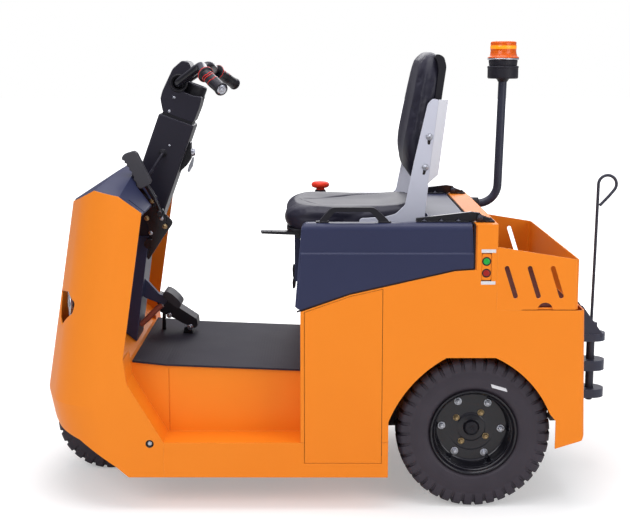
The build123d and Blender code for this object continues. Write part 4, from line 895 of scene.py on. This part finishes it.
def makeHoodFittings():
    feet = [slab(softened([(x, 346), (x + 34, 346), (x + 34, 368), (x, 368)], 5, 4), 778, 781.5, across="z")
        for x in fittings["strapFeet"]]
    strap = slab(softened(fittings["strap"], 7, 6), *fittings["strapSides"])
    makePiece("grab_strap", [strap] + feet, blackNylon, "hood", bevel=3, sharp=40, replacing=["grab_handles"])
    screws = [roundScrew((x, 357, 781), (0, 0, 1), 3.6) for x in (234, 414)]
    makePiece("strap_screws", screws, brightZinc, "hood")
    place = fittings["stopPlace"]
    head = lathe(fittings["stopHead"], 2.5, 5, place, (0, 0, 1), 56)
    makePiece("stop_button", [head], signalRed, "hood", replacing=["emergency_stop"])
    collar = lathe(fittings["stopCollar"], 1, 4, place, (0, 0, 1), 40)
    makePiece("stop_collar", [collar], blackNylon, "hood")
    base = slab(softened(fittings["latchBase"], 3, 4), -29, 29)
    makePiece("latch_base", [base], navyAbs, "hood", bevel=1.5, replacing=["hood_latch"])
    bump = slab(softened(fittings["latchToggle"], 4, 4), -16, 16)
    makePiece("latch_toggle", [bump], blackNylon, "hood", bevel=1.5)
    # a foam seal on the hood's rear edge; the same black tube runs along its lower edge and across its top as
    # painted shade for the shadow line under the edge and the gap at the top
    seals = []
    for sign in (1, -1):
        belt = [(x, 387 * sign, z) for x, z in fittings["belt"]]
        seals.append(tube(softened(belt, 3, 4, closed=False), 2.4, 10))
    seals.append(tube([(10.5, -384, 775), (10.5, 0, 775), (10.5, 384, 775)], 2.2, 10))
    makePiece("hood_seal_and_shade_line", seals, sealAndShadeStrip)
    lever = tube(softened([(466, 156, 722), (520, 156, 722.5), (574, 156, 724)], 4, closed=False), 4.2, 14)
    flat = slab(softened([(548, 147), (574, 149), (577, 156), (574, 163), (548, 165)], 5), 721.5, 727.5,
        across="z")
    makePiece("slide_lever", [lever, flat], blackNylon, "hood", bevel=1.5)
    pins, heads = [], []
    for side in (fittings["hingeSide"], -fittings["hingeSide"]):
        for reach in (16, -16):
            outward = (0, math.copysign(1, reach), 0)
            pins += screw((-6, side + reach, 791), outward, 5.5, 3.5, 7.5)
            pins += screw((-36, side + reach * 0.6, 782), (0, 0, 1), 4.5, 3.5, 7)
        for x in fittings["armBolts"]:
            heads += screw((x, side + 11, 781), (0, 0, 1), 4.2, 3.2, 6.5)
    makePiece("hinge_bolts", pins, oiledSteel, sharp=20)
    makePiece("arm_bolts", heads, oiledSteel, "hood", sharp=20)


makeCarrier()
makeHoodFittings()
print("hood fittings made")


# Beacon, buttons, lamps and the rear of the vehicle

beacon = {
    "place": (-150, -300, 0),
    "lens": [(0, 1251), (34, 1251), (38, 1249.5), (39.5, 1246), (39, 1240), (39.6, 1238), (39.6, 1225),
        (39, 1223), (40, 1214), (42.5, 1207), (47.5, 1203.5), (48.5, 1201.5), (47, 1200), (0, 1200)],
    "ring": [(0, 1200.5), (46, 1200.5), (48.6, 1199), (48.6, 1196), (46, 1194.5), (0, 1194.5)],
    "neck": [(0, 1195), (43, 1195), (44.5, 1192), (43.5, 1184), (42.5, 1176), (0, 1176)],
    "cup": [(0, 1176), (46, 1176), (48, 1174.5), (48, 1171), (47, 1168), (47, 1141), (45, 1137.5), (20, 1137),
        (16, 1131), (14.5, 1128), (0, 1128)],
}


def makeBeacon():
    up = (0, 0, 1)
    makePiece("beacon_dome", [lathe(beacon["lens"], 0.8, 3, beacon["place"], up, 64)], amberAcrylic, sharp=50,
        replacing=["beacon_lens"])
    # the band round the lens, in the acrylic with the stronger painted glow
    band = [(0, 1237.5), (40, 1237.5), (40.3, 1236), (40.3, 1229), (40, 1227.5), (0, 1227.5)]
    makePiece("beacon_band", [turned(band, beacon["place"], up, 64)], brightAcrylic)
    makePiece("beacon_ring", [lathe(beacon["ring"], 1, 3, beacon["place"], up, 64)], brightZinc)
    cup = [lathe(beacon[part], 1, 3, beacon["place"], up, 64) for part in ("neck", "cup")]
    makePiece("beacon_cup", cup, pedalRubber, "chassis", replacing=["beacon_base"])
    grip = [(0, 26), (16, 26), (18.5, 24), (19, 5), (17, 2), (17, 0), (0, 0)]
    makePiece("pole_sleeve", [lathe(grip, 1, 3, (-57, -300, 752), (-1, 0, 0), 36)], blackNylon)
    bolts = []
    for y in (-317, -283):
        for z in (736, 768):
            bolts += screw((-56, y, z), (-1, 0, 0), 4, 3.5, 6)
    makePiece("pole_bolts", bolts, brightZinc, sharp=20)


buttons = {
    "x": -21, "go": 680, "stop": 649, "blanks": (703, 619), "face": 390.2,
    "collar": [(0, 387.5), (11.8, 387.5), (11.8, 388.8), (10.6, 389.4), (9.4, 388.8), (0, 388.8)],
    "cap": [(0, 389.9), (6, 389.7), (8.6, 388.9), (8.8, 387.6), (0, 387.6)],
}


def makeButtons():
    plate = slab(softened([(-33.5, 630), (-8.5, 630), (-8.5, 700), (-33.5, 700)], 4, 4), 386, 388.3)
    makePiece("button_plate", [plate], orangePowderCoat, bevel=0.6, replacing=["inching_buttons"])
    # black bezel rings round the buttons, drawn broad and dark so that they also serve as painted shade round
    # the buttons
    collar = softened(buttons["collar"], 0.4, 3, closed=False)
    rings = [turned(collar, (buttons["x"], 0, buttons[which]), steps=40) for which in ("stop", "go")]
    makePiece("button_bezels_and_shade", rings, blackNylon)
    cap = softened(buttons["cap"], 0.5, 3, closed=False)
    for which, finish in (("go", greenPlastic), ("stop", darkRed)):
        dome = turned(cap, (buttons["x"], 0, buttons[which]), steps=40)
        makePiece(f"button_{which}", [dome], finish)
    blanks = [slab(softened([(-45, low), (-7, low), (-7, low + 9), (-45, low + 9)], 1, 3), 380, buttons["face"])
        for low in buttons["blanks"]]
    makePiece("button_blanks", blanks, whiteFilm)


lamps = {
    "place": (1094, 255, 542), "outward": 14, "postSides": (248, 262),
    "post": [(1084.5, 404), (1090, 404), (1090, 530), (1084.5, 530)],
    "foot": [(1084.5, 404.2), (1105, 404.2), (1105, 409), (1084.5, 409)],
    "bucket": [(0, 1), (37, 1), (39, -3), (36, -16), (27, -38), (14, -50), (0, -52)],
    "ring": [(36, 2), (38, 4.5), (40, 2), (40, -4), (37, -4), (36, 2)],
    "glass": [(0, 7), (12, 6.6), (24, 5), (33, 2.6), (36.4, 1.2), (36.4, 0.2), (0, 0.2)],
}


def makeLamps():
    # a spun bucket with a chrome ring and a domed glass behind each opening in the nose
    buckets, rings, glasses = [], [], []
    for sign in (1, -1):
        place, turn = np.array(lamps["place"]) * (1, sign, 1), math.radians(lamps["outward"])
        out = (math.cos(turn), sign * math.sin(turn), 0)
        buckets.append(lathe(lamps["bucket"], 3, 4, place, out))
        rings.append(lathe(lamps["ring"], 1, 3, place, out))
        glasses.append(turned(lamps["glass"], place, out))
        for outline in (lamps["post"], lamps["foot"]):
            buckets.append(slab(outline, sign * lamps["postSides"][0], sign * lamps["postSides"][1]))
    makePiece("lamp_buckets", buckets, oiledSteel, "chassis", bevel=0.5, replacing=["headlamps"])
    makePiece("lamp_rings", rings, brightZinc)
    makePiece("lamp_glasses", glasses, lampGlass)


rear = {
    "pinX": -384, "loopCentre": (-416.5, 842.0), "loopRadius": 26.0, "loopTurn": 212, "rodRadius": 4.5,
    "rodRun": [(-384, 0, 428), (-385, 0, 480), (-388, 0, 660), (-390, 0, 800)],
    "rodEnd": [(-424, 0, 810), (-396, 0, 780)],
    "pin": [(0, 436), (16, 436), (18, 434), (18, 409), (16, 407.3), (12, 407.3), (12, 210), (9, 203), (0, 203)],
    "shadeSheet": [(-257, -378), (-54, -378), (-54, 378), (-257, 378)], "jackHole": (868, 0, 186),
}


def makeRear():
    (x, z), radius = rear["loopCentre"], rear["loopRadius"]
    turn = np.radians(np.linspace(0, rear["loopTurn"], 18))
    loop = np.stack([x + radius * np.cos(turn), 0 * turn, z + radius * np.sin(turn)], -1)
    path = softened(np.concatenate([rear["rodRun"], loop, rear["rodEnd"]]), 8, 4, closed=False)
    rod = tube(path, rear["rodRadius"])
    pin = lathe(rear["pin"], 1, 3, (rear["pinX"], 0, 0), (0, 0, 1), 40)
    makePiece("tow_pin_rod", [rod, pin], oiledSteel, "tow_pin", replacing=["tow_pin"])
    bolts = []
    for z in (225, 345, 472):
        for y in (-55, 55):
            bolts += screw((-301.5 + (z - 205) * 0.028, y, z), (-1, 0, 0), 8, 7, 13)
    makePiece("coupling_bolts", bolts, brightZinc, sharp=20)
    # a thin dark sheet laid on the tray's floor: painted shade for the tray's shaded inside
    shadeSheet = slab(softened(rear["shadeSheet"], 9, 4), 556.2, 559.5, across="z")
    makePiece("tray_shade_sheet", [shadeSheet], paintedShadeCoat, bevel=1)
    # small brackets at the foot of each wheel arch, drawn near-black: painted shade for an orange piece in the
    # arch's shadow
    boxes = []
    for sign in (1, -1):
        boxes.append(slab([(-198, 250), (-198, 268), (-215, 268), (-215, 250)], sign * 352, sign * 386.5))
    makePiece("arch_shaded_brackets", boxes, dialAndShadeBlack, bevel=1.5)
    # round each jack hole a near-black ring, painted shade for the hole's inside, and a zinc bolt head in it
    rims, heads = [], []
    for sign in (1, -1):
        out = (0, sign, 0)
        ring = [(6, 384), (10.9, 384), (12.6, 389.2), (10, 389.8), (8.5, 388.5), (6, 384)]
        rims.append(turned(ring, rear["jackHole"], out, 32))
        head = [(0, 386.5), (5, 386.5), (7, 385), (7, 380), (0, 380)]
        heads.append(turned(head, rear["jackHole"], out, 24))
    makePiece("jack_hole_rims", rims, dialAndShadeBlack)
    makePiece("jack_hole_bolts", heads, brightZinc)


makeBeacon()
makeButtons()
makeLamps()
makeRear()
print("beacon, buttons, lamps and rear made")


# Stage, lights and camera

studio = {
    "cameraPlace": (0.0463, 3.6743, 1.2196), "cameraDown": 9.51, "cameraYaw": 0.118, "lens": 73.0,
    "ambient": 0.55, "floorTone": "e6e6e8", "floorGlow": 0.32, "wallLevel": 0.22, "skyLevel": 0.95,
    "lamps": {                        # place, size and watts of each soft box, all facing the vehicle's middle
        "key": ((2.2, 3.2, 2.6), 2.2, 46.0),
        "overhead": ((0.2, 0.3, 3.6), 3.0, 70.0),
        "fill": ((-2.8, 2.6, 1.6), 2.4, 36.0),
        "back": ((-0.5, -3.4, 2.4), 2.6, 40.0),
    },
}


def whiteWorld():
    # the camera and glass see plain white; the vehicle is lit by a lower even level
    world = bpy.data.worlds.new("studioWorld")
    bpy.context.scene.world = world
    world.use_nodes = True
    tree = world.node_tree
    tree.nodes.clear()
    rays = addNode(tree, "ShaderNodeLightPath")
    seen = addNode(tree, "ShaderNodeMath", {"operation": "MAXIMUM"},
        {0: rays.outputs["Is Camera Ray"], 1: rays.outputs["Is Transmission Ray"]})
    white = addNode(tree, "ShaderNodeBackground", {}, {"Color": (1, 1, 1, 1), "Strength": 1.0})
    even = addNode(tree, "ShaderNodeBackground", {}, {"Color": (1, 1, 1, 1), "Strength": studio["ambient"]})
    # what a shiny surface mirrors: a dim violet-grey wall near the horizon that brightens upwards
    toward = addNode(tree, "ShaderNodeTexCoord").outputs["Generated"]
    height = addNode(tree, "ShaderNodeSeparateXYZ", {}, {"Vector": toward})
    level = addNode(tree, "ShaderNodeMapRange", {"interpolation_type": "SMOOTHSTEP"},
        {"Value": height.outputs["Z"], "From Min": 0.1, "From Max": 0.75, "To Min": studio["wallLevel"],
        "To Max": studio["skyLevel"]})
    mirror = addNode(tree, "ShaderNodeBackground", {},
        {"Color": (0.86, 0.84, 1.0, 1), "Strength": level.outputs[0]})
    dull = addNode(tree, "ShaderNodeMixShader", {},
        {0: rays.outputs["Is Glossy Ray"], 1: even.outputs[0], 2: mirror.outputs[0]})
    mixed = addNode(tree, "ShaderNodeMixShader", {},
        {0: seen.outputs[0], 1: dull.outputs[0], 2: white.outputs[0]})
    addNode(tree, "ShaderNodeOutputWorld", {}, {"Surface": mixed.outputs[0]})


def floorFinish():
    # pale floor: shaded by the lamps, lifted to white for the camera so that only the shadow shows
    material = bpy.data.materials.new("paleFloor")
    material.use_nodes = True
    tree = material.node_tree
    tree.nodes.clear()
    rays = addNode(tree, "ShaderNodeLightPath")
    matt = addNode(tree, "ShaderNodeBsdfDiffuse", {}, {"Color": toLinear(studio["floorTone"])})
    place = addNode(tree, "ShaderNodeTexCoord").outputs["Object"]
    away = addNode(tree, "ShaderNodeVectorMath", {"operation": "LENGTH"}, {0: place})
    rise = addNode(tree, "ShaderNodeMapRange", {}, {"Value": away.outputs["Value"], "From Min": 1.3,
        "From Max": 3.6, "To Min": studio["floorGlow"], "To Max": 1.1})
    lift = addNode(tree, "ShaderNodeMath", {"operation": "MULTIPLY"},
        {0: rays.outputs["Is Camera Ray"], 1: rise.outputs[0]})
    glow = addNode(tree, "ShaderNodeEmission", {}, {"Color": (1, 1, 1, 1), "Strength": lift.outputs[0]})
    both = addNode(tree, "ShaderNodeAddShader", {}, {0: matt.outputs[0], 1: glow.outputs[0]})
    addNode(tree, "ShaderNodeOutputMaterial", {}, {"Surface": both.outputs[0]})
    return material


def makeStudio():
    whiteWorld()
    mesh = bpy.data.meshes.new("floor")
    reach = 30.0
    mesh.from_pydata([(-reach, -reach, 0), (reach, -reach, 0), (reach, reach, 0), (-reach, reach, 0)], [],
        [(0, 1, 2, 3)])
    mesh.materials.append(floorFinish())
    floor = bpy.data.objects.new("floor", mesh)
    bpy.context.scene.collection.objects.link(floor)
    for name, (spot, size, watts) in studio["lamps"].items():
        lamp = bpy.data.lights.new(name, "AREA")
        lamp.shape, lamp.size, lamp.energy = "DISK", size, watts
        holder = bpy.data.objects.new(name, lamp)
        holder.location = spot
        holder.rotation_euler = (Vector((0, 0, 0.5)) - Vector(spot)).to_track_quat("-Z", "Y").to_euler()
        bpy.context.scene.collection.objects.link(holder)
    camera = bpy.data.objects.new("camera", bpy.data.cameras.new("camera"))
    camera.data.lens, camera.data.sensor_width = studio["lens"], 36.0
    camera.location = studio["cameraPlace"]
    camera.rotation_euler = (math.radians(90 - studio["cameraDown"]), 0,
        math.radians(180 + studio["cameraYaw"]))
    bpy.context.scene.collection.objects.link(camera)
    bpy.context.scene.camera = camera
    bpy.context.scene.view_settings.view_transform = "Standard"


makeStudio()
print("studio ready")
